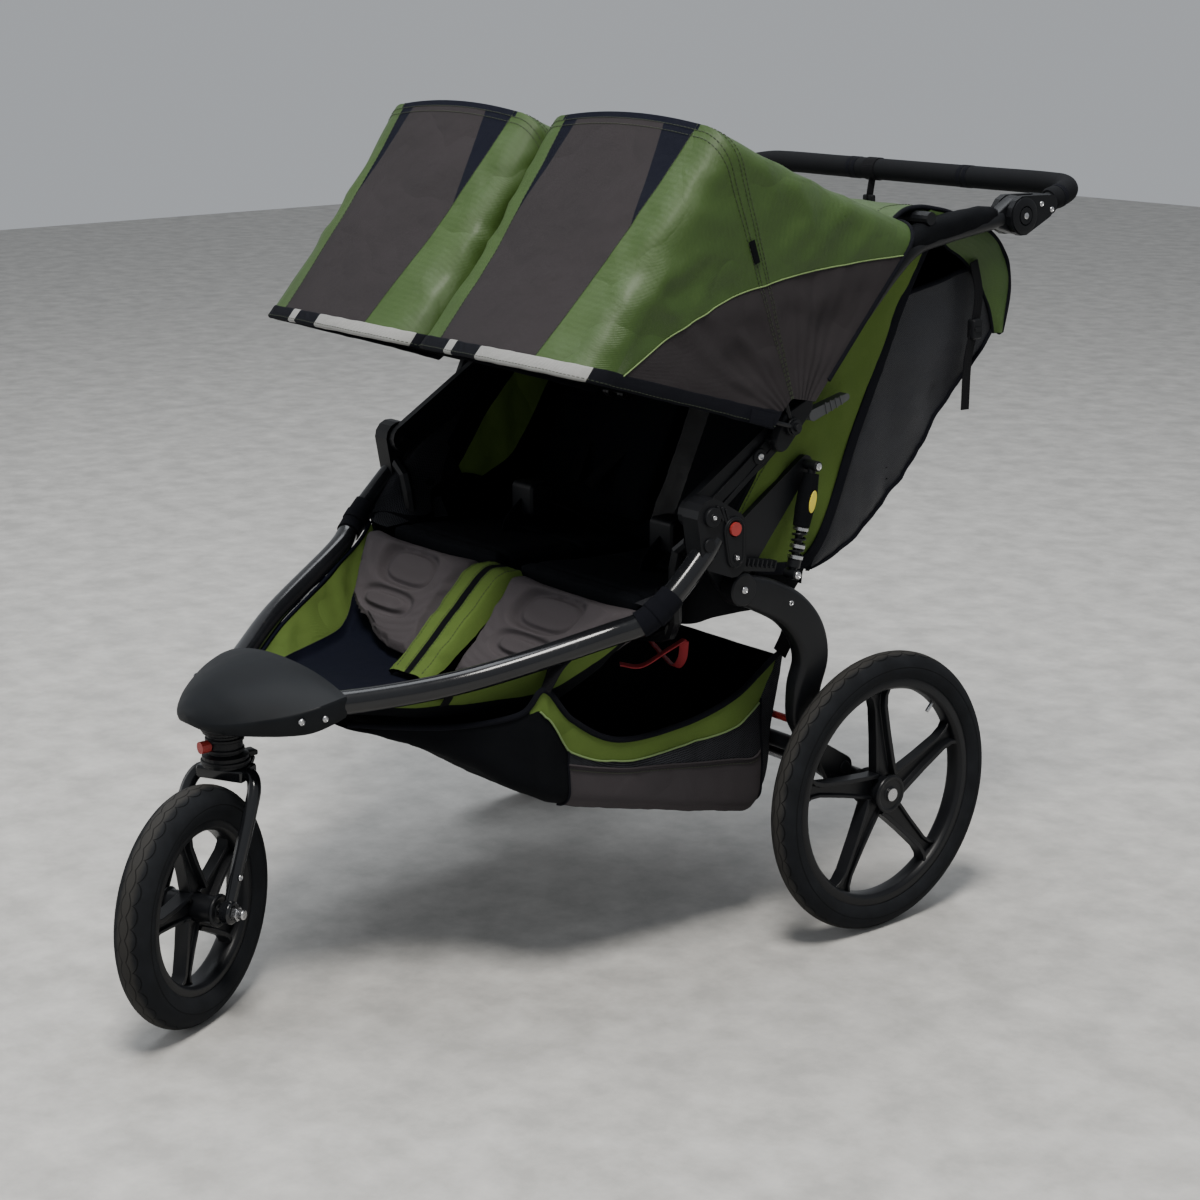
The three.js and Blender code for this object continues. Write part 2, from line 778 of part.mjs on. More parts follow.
function rearChassis() {
  const bracketOutline = around([[...CHASSIS_PIVOT, 18], [...ARM_PIVOT, 16], [...SHOCK_TOP, 12]]);
  const bracket = cut(
    join(
      plate(bracketOutline, 318, 326.5),
      rodX(326, 351, ARM_PIVOT, 8),
      rodX(326, 351, SHOCK_TOP, 6),
    ),
    rodX(310, 330, CHASSIS_PIVOT, 8 + PIN_GAP),
  );
  addPair("chassis_bracket", bracket, "satinBlack");

  const section = [
    [-12, -15],
    [-7, -22],
    [7, -22],
    [12, -15],
    [12, 15],
    [7, 22],
    [-7, 22],
    [-12, 15],
  ];
  const curve = new THREE.CatmullRomCurve3(ARM_LINE.map((point) => new THREE.Vector3(...point)));
  const blade = new THREE.ExtrudeGeometry(outlineShape(section), { steps: 16, extrudePath: curve });
  const axleAt = [REAR_AXLE_Y, REAR_WHEEL_RADIUS];
  const arm = join(
    blade,
    rodX(328, 352, ARM_PIVOT, 22),
    rodX(308, 332, axleAt, 22),
    rodX(328, 352, SHOCK_FOOT, 9),
    plate(around([[...SHOCK_FOOT, 8], [140, 492, 16]], 10), 332, 348),
  );
  const crossTube = rodX(-322, 322, [200, 268], 11);
  const holes = [
    rodX(-360, 360, ARM_PIVOT, 8 + PIN_GAP),
    rodX(-400, 400, axleAt, REAR_AXLE_RADIUS + PIN_GAP),
    rodX(-400, 400, BRAKE_ROD, 5 + PIN_GAP),
  ];
  add("swing_arm", cut(join(arm, mirrored(arm), crossTube), ...holes), "satinBlack");

  // The shocks stand between the brackets' tops and the arms.
  const foot = new THREE.Vector3(340, ...SHOCK_FOOT);
  const way = new THREE.Vector3(340, ...SHOCK_TOP).sub(foot);
  const length = way.length();
  const shock = new THREE.LatheGeometry(
    [
      [0, 9.5],
      [7, 9.5],
      [7, 16],
      [11, 18],
      [11, 78],
      [13, 82],
      [13, length - 14],
      [7, length - 10],
      [7, length - 7],
      [0, length - 7],
    ].map(([radius, height]) => new THREE.Vector2(radius, height)),
    14,
  );
  const upright = new THREE.Vector3(0, 1, 0);
  const turn = new THREE.Quaternion().setFromUnitVectors(upright, way.normalize());
  shock.applyQuaternion(turn).translate(...foot.toArray());
  addPair("shock_absorber", shock, "moulded");

  const pedal = join(
    rodX(-334, 334, BRAKE_ROD, 5),
    plate(around([[...BRAKE_ROD, 9], [262, 312, 5]], 10), -45, 45),
  );
  add("parking_brake_pedal", pedal, "red");
}

frontFrame();
seats();
footwell();
basket();
upperFrame();
handlebar();
canopies();
rearChassis();
rearWheels();
caster();

export default stroller;
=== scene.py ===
import math

import bpy
import bmesh
import numpy as np
from mathutils import Matrix, Vector, noise


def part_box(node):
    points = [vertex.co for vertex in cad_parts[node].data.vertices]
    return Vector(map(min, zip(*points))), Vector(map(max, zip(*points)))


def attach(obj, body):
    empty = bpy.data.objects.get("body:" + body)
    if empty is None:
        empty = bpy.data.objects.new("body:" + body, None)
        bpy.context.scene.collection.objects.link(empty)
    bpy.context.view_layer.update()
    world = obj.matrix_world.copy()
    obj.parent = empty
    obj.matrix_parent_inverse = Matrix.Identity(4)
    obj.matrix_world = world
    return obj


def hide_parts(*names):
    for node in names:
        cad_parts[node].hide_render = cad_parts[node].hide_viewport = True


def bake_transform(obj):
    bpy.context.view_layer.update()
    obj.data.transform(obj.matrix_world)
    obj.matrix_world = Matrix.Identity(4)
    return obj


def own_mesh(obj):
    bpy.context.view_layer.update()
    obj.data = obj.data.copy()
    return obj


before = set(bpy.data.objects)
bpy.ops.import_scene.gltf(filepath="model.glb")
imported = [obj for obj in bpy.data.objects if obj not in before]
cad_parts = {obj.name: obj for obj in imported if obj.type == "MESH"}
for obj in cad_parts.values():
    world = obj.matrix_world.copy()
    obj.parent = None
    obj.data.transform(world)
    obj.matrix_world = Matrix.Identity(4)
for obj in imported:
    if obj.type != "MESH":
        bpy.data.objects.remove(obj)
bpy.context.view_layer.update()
scene = bpy.context.scene

# Shapes are drawn in millimetres, in the frame of the CAD model: +Z up, -Y forward, +X left.
MM = 0.001
SIDES = (("left", 1), ("right", -1))
REAR_AXLE = (300.0, 197.7)
REAR_WHEEL_X = 371.0
REAR_RADIUS, REAR_RIM, REAR_SECTION = 197.7, 162.6, 21.0
FRONT_RADIUS, FRONT_RIM, FRONT_SECTION = 155.4, 113.0, 25.0
SWIVEL_Y, CASTER_LEAD, CASTER_TURN = -512.0, 89.0, math.radians(27.5)
CANOPY_PIVOT = (139.0, 725.0)
HANDLE_PIVOT = (577.0, 965.0)
SHOCK_TOP, SHOCK_FOOT = (340, 190, 665), (340, 155, 524)
# Frames of cloth simulation that puff up a pad, and the rows and columns that sheets of cloth are drawn with.
PUFF_FRAMES = 20
CANOPY_ROWS, FOOTWELL_ROWS, DIVIDER_ROWS = 42, 61, 61
SIDE_ROWS, SIDE_COLS, POCKET_COLS = 26, 61, 71
COVER_ROWS, COVER_COLS = 61, 40


# ---- Materials ----
class Finish:
    """Builds one material's nodes round its Principled shader."""

    def __init__(self, name, **sockets):
        self.material = bpy.data.materials.new(name)
        self.material.use_nodes = True
        self.nodes, self.links = self.material.node_tree.nodes, self.material.node_tree.links
        self.shader = self.nodes["Principled BSDF"]
        for socket, value in sockets.items():
            self.shader.inputs[socket.replace("_", " ")].default_value = value

    def node(self, kind, *inputs, out=0, **settings):
        made = self.nodes.new("ShaderNode" + kind)
        for key, value in settings.items():
            setattr(made, key, value)
        for socket, value in zip(made.inputs, inputs):
            self.feed(socket, value)
        return made.outputs[out]

    def feed(self, socket, value):
        if isinstance(value, bpy.types.NodeSocket):
            self.links.new(value, socket)
        elif value is not None:
            socket.default_value = value

    def math(self, operation, *inputs):
        return self.node("Math", *inputs, operation=operation)

    def add(self, a, b):
        return self.math("ADD", a, b)

    def minus(self, a, b):
        return self.math("SUBTRACT", a, b)

    def times(self, a, b):
        return self.math("MULTIPLY", a, b)

    def size(self, a):
        return self.math("ABSOLUTE", a)

    def sine(self, a):
        return self.math("SINE", a)

    def scaled(self, vector, by):
        by = by if hasattr(by, "__len__") else (by,) * 3
        return self.node("VectorMath", vector, by, operation="MULTIPLY")

    def split(self, vector):
        made = self.nodes.new("ShaderNodeSeparateXYZ")
        self.feed(made.inputs[0], vector)
        return made.outputs

    def place(self):
        return self.node("TexCoord", out="Object")

    def noise(self, scale, detail=3.0, rough=0.55, vector=None):
        made = self.nodes.new("ShaderNodeTexNoise")
        self.feed(made.inputs["Vector"], vector or self.place())
        for socket, value in (("Scale", scale), ("Detail", detail), ("Roughness", rough)):
            made.inputs[socket].default_value = value
        return made.outputs["Fac"]

    def spread(self, value, low, high, start=0.0, end=1.0, smooth=False):
        made = self.nodes.new("ShaderNodeMapRange")
        made.interpolation_type = "SMOOTHSTEP" if smooth else "LINEAR"
        for socket, given in zip(made.inputs, (value, start, end, low, high)):
            self.feed(socket, given)
        return made.outputs[0]

    def over(self, value, low, high):
        """The middle of a noise, spread between two values."""
        return self.spread(value, low, high, 0.3, 0.7)

    def groove(self, distance, deep, near, far):
        """A soft-edged line where a distance is small; near and far are in millimetres."""
        return self.spread(distance, deep, 0.0, near * MM, far * MM, True)

    def mix(self, share, a, b):
        made = self.nodes.new("ShaderNodeMix")
        made.data_type = "RGBA"
        self.feed(made.inputs[0], share)
        self.feed(made.inputs[6], (*a, 1.0) if isinstance(a, tuple) else a)
        self.feed(made.inputs[7], (*b, 1.0) if isinstance(b, tuple) else b)
        return made.outputs[2]

    def bump(self, height, distance, strength=1.0, under=None):
        made = self.nodes.new("ShaderNodeBump")
        made.inputs["Strength"].default_value = strength
        made.inputs["Distance"].default_value = distance
        self.feed(made.inputs["Height"], height)
        if under is not None:
            self.feed(made.inputs["Normal"], under)
        return made.outputs[0]

    def done(self, colour, rough, normal=None):
        self.feed(self.shader.inputs["Base Color"], colour)
        self.feed(self.shader.inputs["Roughness"], rough)
        if normal is not None:
            self.feed(self.shader.inputs["Normal"], normal)
        return self.material


def tint(colour, by):
    return tuple(min(1.0, c * by) for c in colour)


def weave(
    name, colour, thread=1.5, depth=0.00022, rough=0.86, spread=0.16, mapped=True, rib=0.0, crumple=0.0,
    **sockets
):
    """Woven cloth: crossing threads, worn patches and soft creases."""
    f = Finish(name, **sockets)
    at = f.node("UVMap") if mapped else f.place()
    u, v, w = f.split(f.scaled(at, 2 * math.pi / (thread * MM)))
    su, sv = f.sine(u), f.sine(v)
    cloth = f.times(su, sv)
    if not mapped:
        sw = f.sine(w)
        cloth = f.add(cloth, f.add(f.times(sv, sw), f.times(sw, su)))
    if rib:
        cloth = f.add(cloth, f.times(f.sine(f.times(v, 0.25)), rib))
    patch = f.noise(7.0, 4.0, 0.6)
    fuzz = f.noise(900.0, 2.0)
    tone = f.spread(cloth, -spread * 0.8, spread * 0.8, -1.0, 1.0)
    tone = f.add(tone, f.over(patch, -spread, spread))
    tone = f.add(tone, f.over(fuzz, -spread, spread))
    share = f.spread(tone, 0.0, 1.0, -0.8, 0.8)
    base = f.mix(share, tint(colour, 0.62), tint(colour, 1.4))
    crease = f.noise(38.0, 5.0, 0.6)
    normal = f.bump(crease, 0.004, 0.35)
    if crumple:
        ridge = f.size(f.minus(f.noise(7.5, 2.0, 0.4), 0.5))
        normal = f.bump(ridge, 0.05, crumple, normal)
    normal = f.bump(cloth, depth, 0.8, normal)
    return f.done(base, f.over(patch, rough - 0.07, rough + 0.07), normal)


def netting(name, colour, hole, pitch=3.2, rough=0.7, **sockets):
    """Knitted mesh: shiny yarn round hexagonal holes, whose near-black colour is painted shade seen through them.
    """
    f = Finish(name, **sockets)
    at = f.scaled(f.node("UVMap"), (1 / (pitch * MM), 1 / (pitch * 0.8 * MM), 1.0))
    cell = f.nodes.new("ShaderNodeTexVoronoi")
    cell.feature = "DISTANCE_TO_EDGE"
    f.feed(cell.inputs["Vector"], at)
    cell.inputs["Scale"].default_value = 1.0
    cell.inputs["Randomness"].default_value = 0.25
    yarn = f.spread(cell.outputs["Distance"], 1.0, 0.0, 0.14, 0.3, True)
    patch = f.noise(10.0, 4.0)
    lit = f.mix(f.over(patch, 0.0, 1.0), tint(colour, 0.7), tint(colour, 1.5))
    # The holes take the near-black hole colour: painted shade seen through the openings.
    return f.done(f.mix(yarn, hole, lit), f.spread(yarn, 0.95, rough), f.bump(yarn, 0.0006, 0.8))


def hard(name, colour, rough, grain=0.0, scale=900.0, scuff=0.25, wear=None, **sockets):
    """Paint, plastic or metal: fine grain, scuffs and a film of dust."""
    f = Finish(name, **sockets)
    dust = f.noise(12.0, 5.0, 0.65)
    fine = f.noise(scale, 3.0)
    mark = f.spread(f.noise(65.0, 6.0, 0.72), 0.0, 1.0, 0.62, 0.8)
    base = f.mix(f.spread(dust, 0.0, 1.0, 0.35, 0.75), tint(colour, 0.85), tint(colour, 1.25))
    base = f.mix(f.times(mark, scuff), base, wear or tint(colour, 2.6))
    roughness = f.add(f.over(dust, rough - 0.05, rough + 0.07), f.times(mark, scuff * 0.35))
    return f.done(base, roughness, f.bump(fine, grain * MM, 0.6) if grain else f.bump(dust, 0.0004, 0.15))


def tread(name, colour, section, waves):
    """Tyre rubber with scalloped grooves on its shoulders, centre lines and a dusty contact band; the grooves are
    also painted darker, as painted shade.
    """
    f = Finish(name, IOR=1.45, Specular_IOR_Level=0.14)
    u, v, _ = f.split(f.node("UVMap"))
    side = f.size(v)
    turn = f.times(u, math.pi * waves)
    wave = f.math("POWER", f.size(f.sine(turn)), 0.55)
    edge = f.add(f.times(wave, section * 0.34), section * 0.34)
    scallop = f.groove(f.size(f.minus(side, edge)), 1.0, 0.4, 1.1)
    inner = f.times(f.size(f.math("COSINE", turn)), section * 0.16)
    inner = f.add(inner, section * 0.1)
    second = f.groove(f.size(f.minus(side, inner)), 0.8, 0.35, 0.9)
    bead = f.groove(f.size(f.minus(side, section * 1.5)), 1.0, 0.3, 0.8)
    cut = f.math("MAXIMUM", f.math("MAXIMUM", scallop, second), bead)
    dust = f.noise(26.0, 5.0, 0.65)
    worn = f.spread(f.minus(side, f.times(dust, 0.012)), 1.0, 0.0, 0.0, 0.009, True)
    base = f.mix(f.spread(dust, 0.0, 1.0, 0.35, 0.7), tint(colour, 0.75), tint(colour, 1.35))
    base = f.mix(f.times(worn, 0.45), base, (0.06, 0.056, 0.05))
    # The grooves are painted darker than the rubber: painted shade in the grooves.
    base = f.mix(f.times(cut, 0.75), base, tint(colour, 0.3))
    normal = f.bump(f.noise(700.0), 0.0002, 0.5)
    normal = f.bump(f.minus(1.0, cut), 0.0016, 0.9, normal)
    return f.done(base, f.over(dust, 0.72, 0.9), normal)


def brushed(name, colour, rough):
    f = Finish(name, Metallic=1.0)
    lines = f.noise(160.0, 4.0, 0.6, f.scaled(f.place(), (0.6, 9.0, 9.0)))
    base = f.mix(lines, tint(colour, 0.75), tint(colour, 1.15))
    return f.done(base, f.over(lines, rough - 0.08, rough + 0.12), f.bump(lines, 0.0001, 0.4))


MATT = {"Specular_IOR_Level": 0.09}
RUBBER, DARK = (0.0105, 0.0115, 0.0135), (0.007, 0.0075, 0.009)
GRAY, GREEN, SEAT_GREEN = (0.053, 0.047, 0.05), (0.037, 0.073, 0.014), (0.1, 0.155, 0.035)
NAVY, BLACK = (0.0035, 0.0045, 0.011), (0.003, 0.0035, 0.0048)
PAINT = hard(
    "gloss black powder coat", (0.008, 0.0085, 0.01), 0.17, scuff=0.3, wear=(0.07, 0.066, 0.06),
    Coat_Weight=0.25, Coat_Roughness=0.1, Specular_IOR_Level=0.35
)
SATIN = hard("satin black metal", DARK, 0.38, grain=0.05, scuff=0.18, Specular_IOR_Level=0.24)
PLASTIC = hard("black moulded plastic", DARK, 0.46, grain=0.12, scuff=0.2, Specular_IOR_Level=0.18)
NOSE = hard(
    "black rubbery plastic", (0.006, 0.007, 0.0085), 0.46, grain=0.14, scale=1400.0, scuff=0.18,
    Specular_IOR_Level=0.14
)
RIM = hard("glass filled nylon", (0.0065, 0.007, 0.0085), 0.36, grain=0.08, scuff=0.15, Specular_IOR_Level=0.24)
LEVER = hard("gray plastic", (0.07, 0.073, 0.077), 0.45, grain=0.08, scuff=0.2)
RED = hard("red plastic", (0.34, 0.03, 0.026), 0.38, grain=0.05, scuff=0.15)
YELLOW = hard("yellow label film", (0.62, 0.52, 0.05), 0.35, scuff=0.12)
STEEL = brushed("bright steel", (0.56, 0.56, 0.57), 0.26)
FOAM = hard("black foam grip", DARK, 0.85, grain=0.7, scale=1100.0, scuff=0.18, Specular_IOR_Level=0.12)
REAR_TREAD = tread("rear tyre rubber", RUBBER, REAR_SECTION * MM, 44)
FRONT_TREAD = tread("front tyre rubber", RUBBER, FRONT_SECTION * MM, 34)
GRAY_CLOTH = weave("gray polyester", GRAY, 1.3, crumple=0.3, **MATT)
GREEN_CLOTH = weave(
    "coated green nylon", GREEN, 2.0, 0.00016, 0.46, 0.14, rib=0.35, crumple=0.42, Coat_Weight=0.1,
    Coat_Roughness=0.3, Specular_IOR_Level=0.32
)
SEAT_CLOTH = weave("green seat cloth", SEAT_GREEN, 1.4, crumple=0.4, **MATT)
TOP_GRAY = weave("gray canopy polyester", tint(GRAY, 0.64), 1.3, crumple=0.3, **MATT)
NAVY_CLOTH = weave("navy polyester", NAVY, 1.4, rough=0.7, **MATT)
BLACK_CLOTH = weave("black polyester", BLACK, 1.4, rough=0.82, **MATT)
PAD_CLOTH = weave("gray pad cloth", tint(GRAY, 1.4), 1.7, 0.0002, mapped=False, **MATT)
SEAT_BLACK = weave("black pad cloth", tint(BLACK, 1.5), 1.7, 0.0002, mapped=False, **MATT)
BINDING = weave("black binding tape", (0.006, 0.0065, 0.01), 1.1, 0.0003, 0.75, mapped=False, **MATT)
WEBBING = weave("black webbing", (0.007, 0.007, 0.0085), 2.2, 0.0005, 0.7, mapped=False, **MATT)
RED_WEBBING = weave("red webbing", (0.3, 0.012, 0.02), 2.2, 0.0004, 0.7, mapped=False)
REFLECTIVE = weave("gray reflective tape", (0.27, 0.27, 0.26), 0.9, 0.0001, 0.4, mapped=False)
PIPING = weave("pale green piping", (0.17, 0.25, 0.09), 0.9, 0.0001, 0.6, mapped=False)
THREAD = weave("dark thread", (0.03, 0.04, 0.02), 0.6, 0.0001, 0.7, mapped=False)
# Each netting's last colour is its hole colour, painted shade seen through the openings.
MESH_NET = netting("black netting", (0.032, 0.033, 0.038), (0.0012, 0.0012, 0.0016), **MATT)
POCKET_NET = netting("fine black netting", (0.022, 0.023, 0.028), (0.003, 0.003, 0.0045), 1.9, 0.34)


# ---- Shapes ----
class Shape:
    """Points, faces, a material number for each face and a place on the cloth for each point."""

    def __init__(self, points=(), faces=(), mark=0, cloth=None):
        self.points = np.array(points, float).reshape(-1, 3)
        self.faces = [tuple(face) for face in faces]
        self.marks = [mark] * len(self.faces) if isinstance(mark, int) else list(mark)
        flat = self.points[:, 1:] * MM
        self.cloth = flat if cloth is None else np.array(cloth, float).reshape(-1, 2)

    def __add__(self, other):
        step = len(self.points)
        faces = self.faces + [tuple(i + step for i in face) for face in other.faces]
        made = Shape(np.vstack([self.points, other.points]), faces, self.marks + other.marks)
        made.cloth = np.vstack([self.cloth, other.cloth])
        return made

    def flip(self, sign):
        if sign > 0:
            return self
        points = self.points * (-1, 1, 1)
        return Shape(points, [face[::-1] for face in self.faces], self.marks, self.cloth)

    def marked(self, mark):
        return Shape(self.points, self.faces, mark, self.cloth)

    def moved(self, matrix):
        turn = np.array(matrix)
        return Shape(self.points @ turn[:3, :3].T + turn[:3, 3], self.faces, self.marks, self.cloth)


def skin(rows, wide, ring=True, loop=False):
    """Faces between rows of points: ring joins the ends of each row, loop the last row to the first."""
    faces = []
    for i in range(rows if loop else rows - 1):
        k = (i + 1) % rows
        for j in range(wide if ring else wide - 1):
            m = (j + 1) % wide
            faces.append((i * wide + j, i * wide + m, k * wide + m, k * wide + j))
    return faces


def turned_over(faces):
    return [(a, d, c, b) for a, b, c, d in faces]


def end_faces(rows, wide):
    return [tuple(range(wide))[::-1], tuple(range((rows - 1) * wide, rows * wide))]


def together(*shapes):
    whole = shapes[0]
    for shape in shapes[1:]:
        whole = whole + shape
    return whole


def smooth_line(points, steps):
    """Evenly spaced points on a smooth line through the given ones."""
    p = np.array(points, float)
    p = np.vstack([2 * p[0] - p[1], p, 2 * p[-1] - p[-2]])
    dense = []
    for i in range(len(p) - 3):
        q = p[i : i + 4]
        t = np.concatenate([[0], np.cumsum(np.linalg.norm(np.diff(q, axis=0), axis=1) ** 0.5)])
        u = np.linspace(t[1], t[2], 16, endpoint=False)[:, None]
        a = [((t[k + 1] - u) * q[k] + (u - t[k]) * q[k + 1]) / (t[k + 1] - t[k]) for k in range(3)]
        b = [((t[k + 2] - u) * a[k] + (u - t[k]) * a[k + 1]) / (t[k + 2] - t[k]) for k in range(2)]
        dense.append(((t[2] - u) * b[0] + (u - t[1]) * b[1]) / (t[2] - t[1]))
    dense = np.vstack([*dense, p[-2][None]])
    run = lengths(dense)
    want = np.linspace(0, run[-1], steps + 1)
    return np.column_stack([np.interp(want, run, dense[:, k]) for k in range(3)])


def interpolated(table, count):
    """Smoothly spaced rows between the given ones."""
    table = np.array(table, float)
    last = len(table) - 1
    rows = []
    for w in np.linspace(0, last, count):
        i = min(int(w), last - 1)
        t = w - i
        p0, p1, p2, p3 = (table[min(max(i + k, 0), last)] for k in (-1, 0, 1, 2))
        m1, m2 = (p2 - p0) / 2, (p3 - p1) / 2
        rows.append(
            (2 * t**3 - 3 * t**2 + 1) * p1 + (t**3 - 2 * t**2 + t) * m1 + (3 * t**2 - 2 * t**3) * p2
            + (t**3 - t**2) * m2
        )
    return np.array(rows)


def mirrored(half):
    """A row of x, y and z carried on past its last point, at the middle, to the other side."""
    return half + [(-x, y, z) for x, y, z in half[-2::-1]]


def from_edge(count):
    """The number of steps from each place in a row to the nearer end."""
    return np.minimum(np.arange(count), np.arange(count)[::-1])


def nearest_row(grid, y):
    return int(np.argmin(np.abs(grid[:, 0, 1] - y)))


def lengths(line):
    return np.concatenate([[0], np.cumsum(np.linalg.norm(np.diff(line, axis=0), axis=1))])


def unit(v):
    return v / np.maximum(np.linalg.norm(v, axis=-1, keepdims=True), 1e-9)


def sweep(line, section, up=(0, 0, 1), sizes=None, closed=False):
    """Carries a closed section, given across and up, along a line of points."""
    line, section = np.array(line, float), np.array(section, float)
    along = unit(np.gradient(line, axis=0))
    if closed:
        along = unit(np.roll(line, -1, axis=0) - np.roll(line, 1, axis=0))
    normal = unit(np.cross(np.cross(along[0], up), along[0]))
    count, rings, cloth = len(section), [], []
    round_it = lengths(np.vstack([section, section[:1]])) * MM
    run = lengths(line) * MM
    for i, (at, way) in enumerate(zip(line, along)):
        normal = unit(normal - way * (normal @ way))
        across = np.cross(way, normal)
        size = 1.0 if sizes is None else sizes[i]
        rings.append(at + size * (section[:, :1] * across + section[:, 1:] * normal))
        cloth.append(np.column_stack([round_it[:-1], np.full(count, run[i])]))
    faces = skin(len(line), count, loop=closed) + ([] if closed else end_faces(len(line), count))
    return Shape(np.vstack(rings), faces, 0, np.vstack(cloth))


def ring(radius, sides):
    turn = np.linspace(0, 2 * math.pi, sides, endpoint=False)
    return np.column_stack([radius * np.cos(turn), radius * np.sin(turn)])


def oblong(half, tall, corner, arc=4):
    """A rectangle with round corners."""
    points = []
    for k, (cx, cy) in enumerate(((1, 1), (-1, 1), (-1, -1), (1, -1))):
        for turn in np.linspace(k, k + 1, arc + 1) * math.pi / 2:
            points.append(
                (cx * (half - corner) + corner * math.cos(turn), cy * (tall - corner) + corner * math.sin(turn))
            )
    return np.array(points)


def tube(points, radius, sides=18, steps=48, sizes=None, smooth=True):
    line = smooth_line(points, steps) if smooth else np.array(points, float)
    if sizes is not None:
        sizes = np.interp(np.linspace(0, 1, len(line)), np.linspace(0, 1, len(sizes)), sizes)
    return sweep(line, ring(radius, sides), sizes=sizes)


def rod(start, end, radius, sides=24, round_off=0.0):
    """A straight bar; round_off softens both of its end edges."""
    start, end = np.array(start, float), np.array(end, float)
    way = unit(end - start)
    r = min(round_off, radius * 0.6)
    line = [start, start + way * r, end - way * r, end] if r else [start, end]
    sizes = [1 - r / radius, 1, 1, 1 - r / radius] if r else None
    up = (1, 0, 0) if abs(way[0]) < 0.8 else (0, 0, 1)
    return sweep(line, ring(radius, sides), up, sizes=sizes)


def rod_x(x0, x1, at, radius, sides=24, round_off=0.0):
    return rod((x0, *at), (x1, *at), radius, sides, round_off)


def around(circles, sides=24):
    """The outline stretched round circles given as y, z and radius."""
    points = []
    for y, z, radius in circles:
        points += [tuple(p) for p in ring(radius, sides) + (y, z)]
    points.sort()

    def half(run):
        hull = []
        for p in run:
            while len(hull) > 1:
                a, b = hull[-2:]
                if (b[0] - a[0]) * (p[1] - a[1]) - (b[1] - a[1]) * (p[0] - a[0]) > 1e-6:
                    break
                hull.pop()
            hull.append(p)
        return hull[:-1]

    return half(points) + half(points[::-1])


def plate(outline, x0, x1, edge=1.5):
    """A flat plate with softened edges: an outline in y and z, given thickness along X."""
    flat = np.array(outline, float)
    middle = flat.mean(axis=0)
    reach = np.linalg.norm(flat - middle, axis=1, keepdims=True)
    inset = middle + (flat - middle) * (1 - edge / np.maximum(reach, edge * 2))
    soft = min(edge, abs(x1 - x0) * 0.4)
    way = 1 if x1 > x0 else -1
    layers = [(x0, inset), (x0 + way * soft, flat), (x1 - way * soft, flat), (x1, inset)]
    count = len(flat)
    points = np.vstack([np.column_stack([np.full(count, x), at]) for x, at in layers])
    return Shape(points, end_faces(4, count) + skin(4, count))


def teeth(count, first, step, x0, x1, edge):
    """Small plates in a row, each round two circles of y, z and radius that move on by a step."""
    pairs = (np.array(first) + k * np.array(step) for k in range(count))
    return together(*[plate(around(pair, 8), x0, x1, edge) for pair in pairs])


def turned(profile, segments=96, closed=True, cloth=None):
    """A body turned about the X axis from points of radius and x."""
    profile = np.array(profile, float)
    count = len(profile)
    turns = np.linspace(0, 2 * math.pi, segments + 1)
    points, place = [], []
    run = lengths(profile) * MM if cloth is None else np.array(cloth)
    for k, a in enumerate(turns):
        points.append(
            np.column_stack([profile[:, 1], profile[:, 0] * math.cos(a), profile[:, 0] * math.sin(a)])
        )
        place.append(np.column_stack([np.full(count, k / segments), run]))
    return Shape(np.vstack(points), turned_over(skin(segments + 1, count, closed)), 0, np.vstack(place))


def grid_normals(grid):
    return unit(np.cross(np.gradient(grid, axis=0), np.gradient(grid, axis=1)))


def loop_grid(grid, marks=None, caps=True):
    """A closed tube-like skin whose rows are loops of points."""
    count, wide = grid.shape[:2]
    faces = skin(count, wide) + (end_faces(count, wide) if caps else [])
    kinds = [0] * len(faces) if marks is None else [mark for row in marks for mark in row] + [0] * 2 * caps
    along = lengths(grid[:, 0]) * MM
    round_it = lengths(grid[0]) * MM
    cloth = np.dstack([np.tile(round_it, (count, 1)), np.tile(along[:, None], (1, wide))]).reshape(-1, 2)
    return Shape(grid.reshape(-1, 3), faces, kinds, cloth)


def outward(grid, middle=None):
    """The normals of a grid, turned away from its middle or from a given point."""
    out = grid_normals(grid)
    middle = grid.reshape(-1, 3).mean(axis=0) if middle is None else middle
    return out * np.sign(((grid - middle) * out).sum(axis=2).mean())


def surface(grid, marks=None, thick=1.6, side=1, lining=0):
    """A closed shell of cloth through a grid of points; the lining, one mark or rows of them, is its far side."""
    grid = np.array(grid, float)
    rows, cols = grid.shape[:2]
    across = np.cumsum(np.linalg.norm(np.diff(grid, axis=1, prepend=grid[:, :1]), axis=2), axis=1)
    along = np.cumsum(np.linalg.norm(np.diff(grid, axis=0, prepend=grid[:1]), axis=2), axis=0)
    cloth = np.dstack([across, along]).reshape(-1, 2) * MM
    faces = [face[::side] for face in skin(rows, cols, ring=False)]
    count, step = len(faces), rows * cols
    plain = isinstance(lining, int)
    kinds = [0] * count if marks is None else [int(mark) for row in marks for mark in row]
    kinds += [lining] * count if plain else [int(mark) for row in lining for mark in row]
    faces += [tuple(k + step for k in face[::-1]) for face in faces]
    ids = np.arange(step).reshape(rows, cols)
    rim = [*ids[0, :-1], *ids[:-1, -1], *ids[-1, :0:-1], *ids[:0:-1, 0]]
    faces += [(b, a, a + step, b + step)[::side] for a, b in zip(rim, rim[1:] + rim[:1])]
    kinds += [lining if plain else int(lining[0][0])] * len(rim)
    points = [grid, grid + grid_normals(grid) * thick * side]
    return Shape(points, faces, kinds, np.vstack([cloth, cloth]))


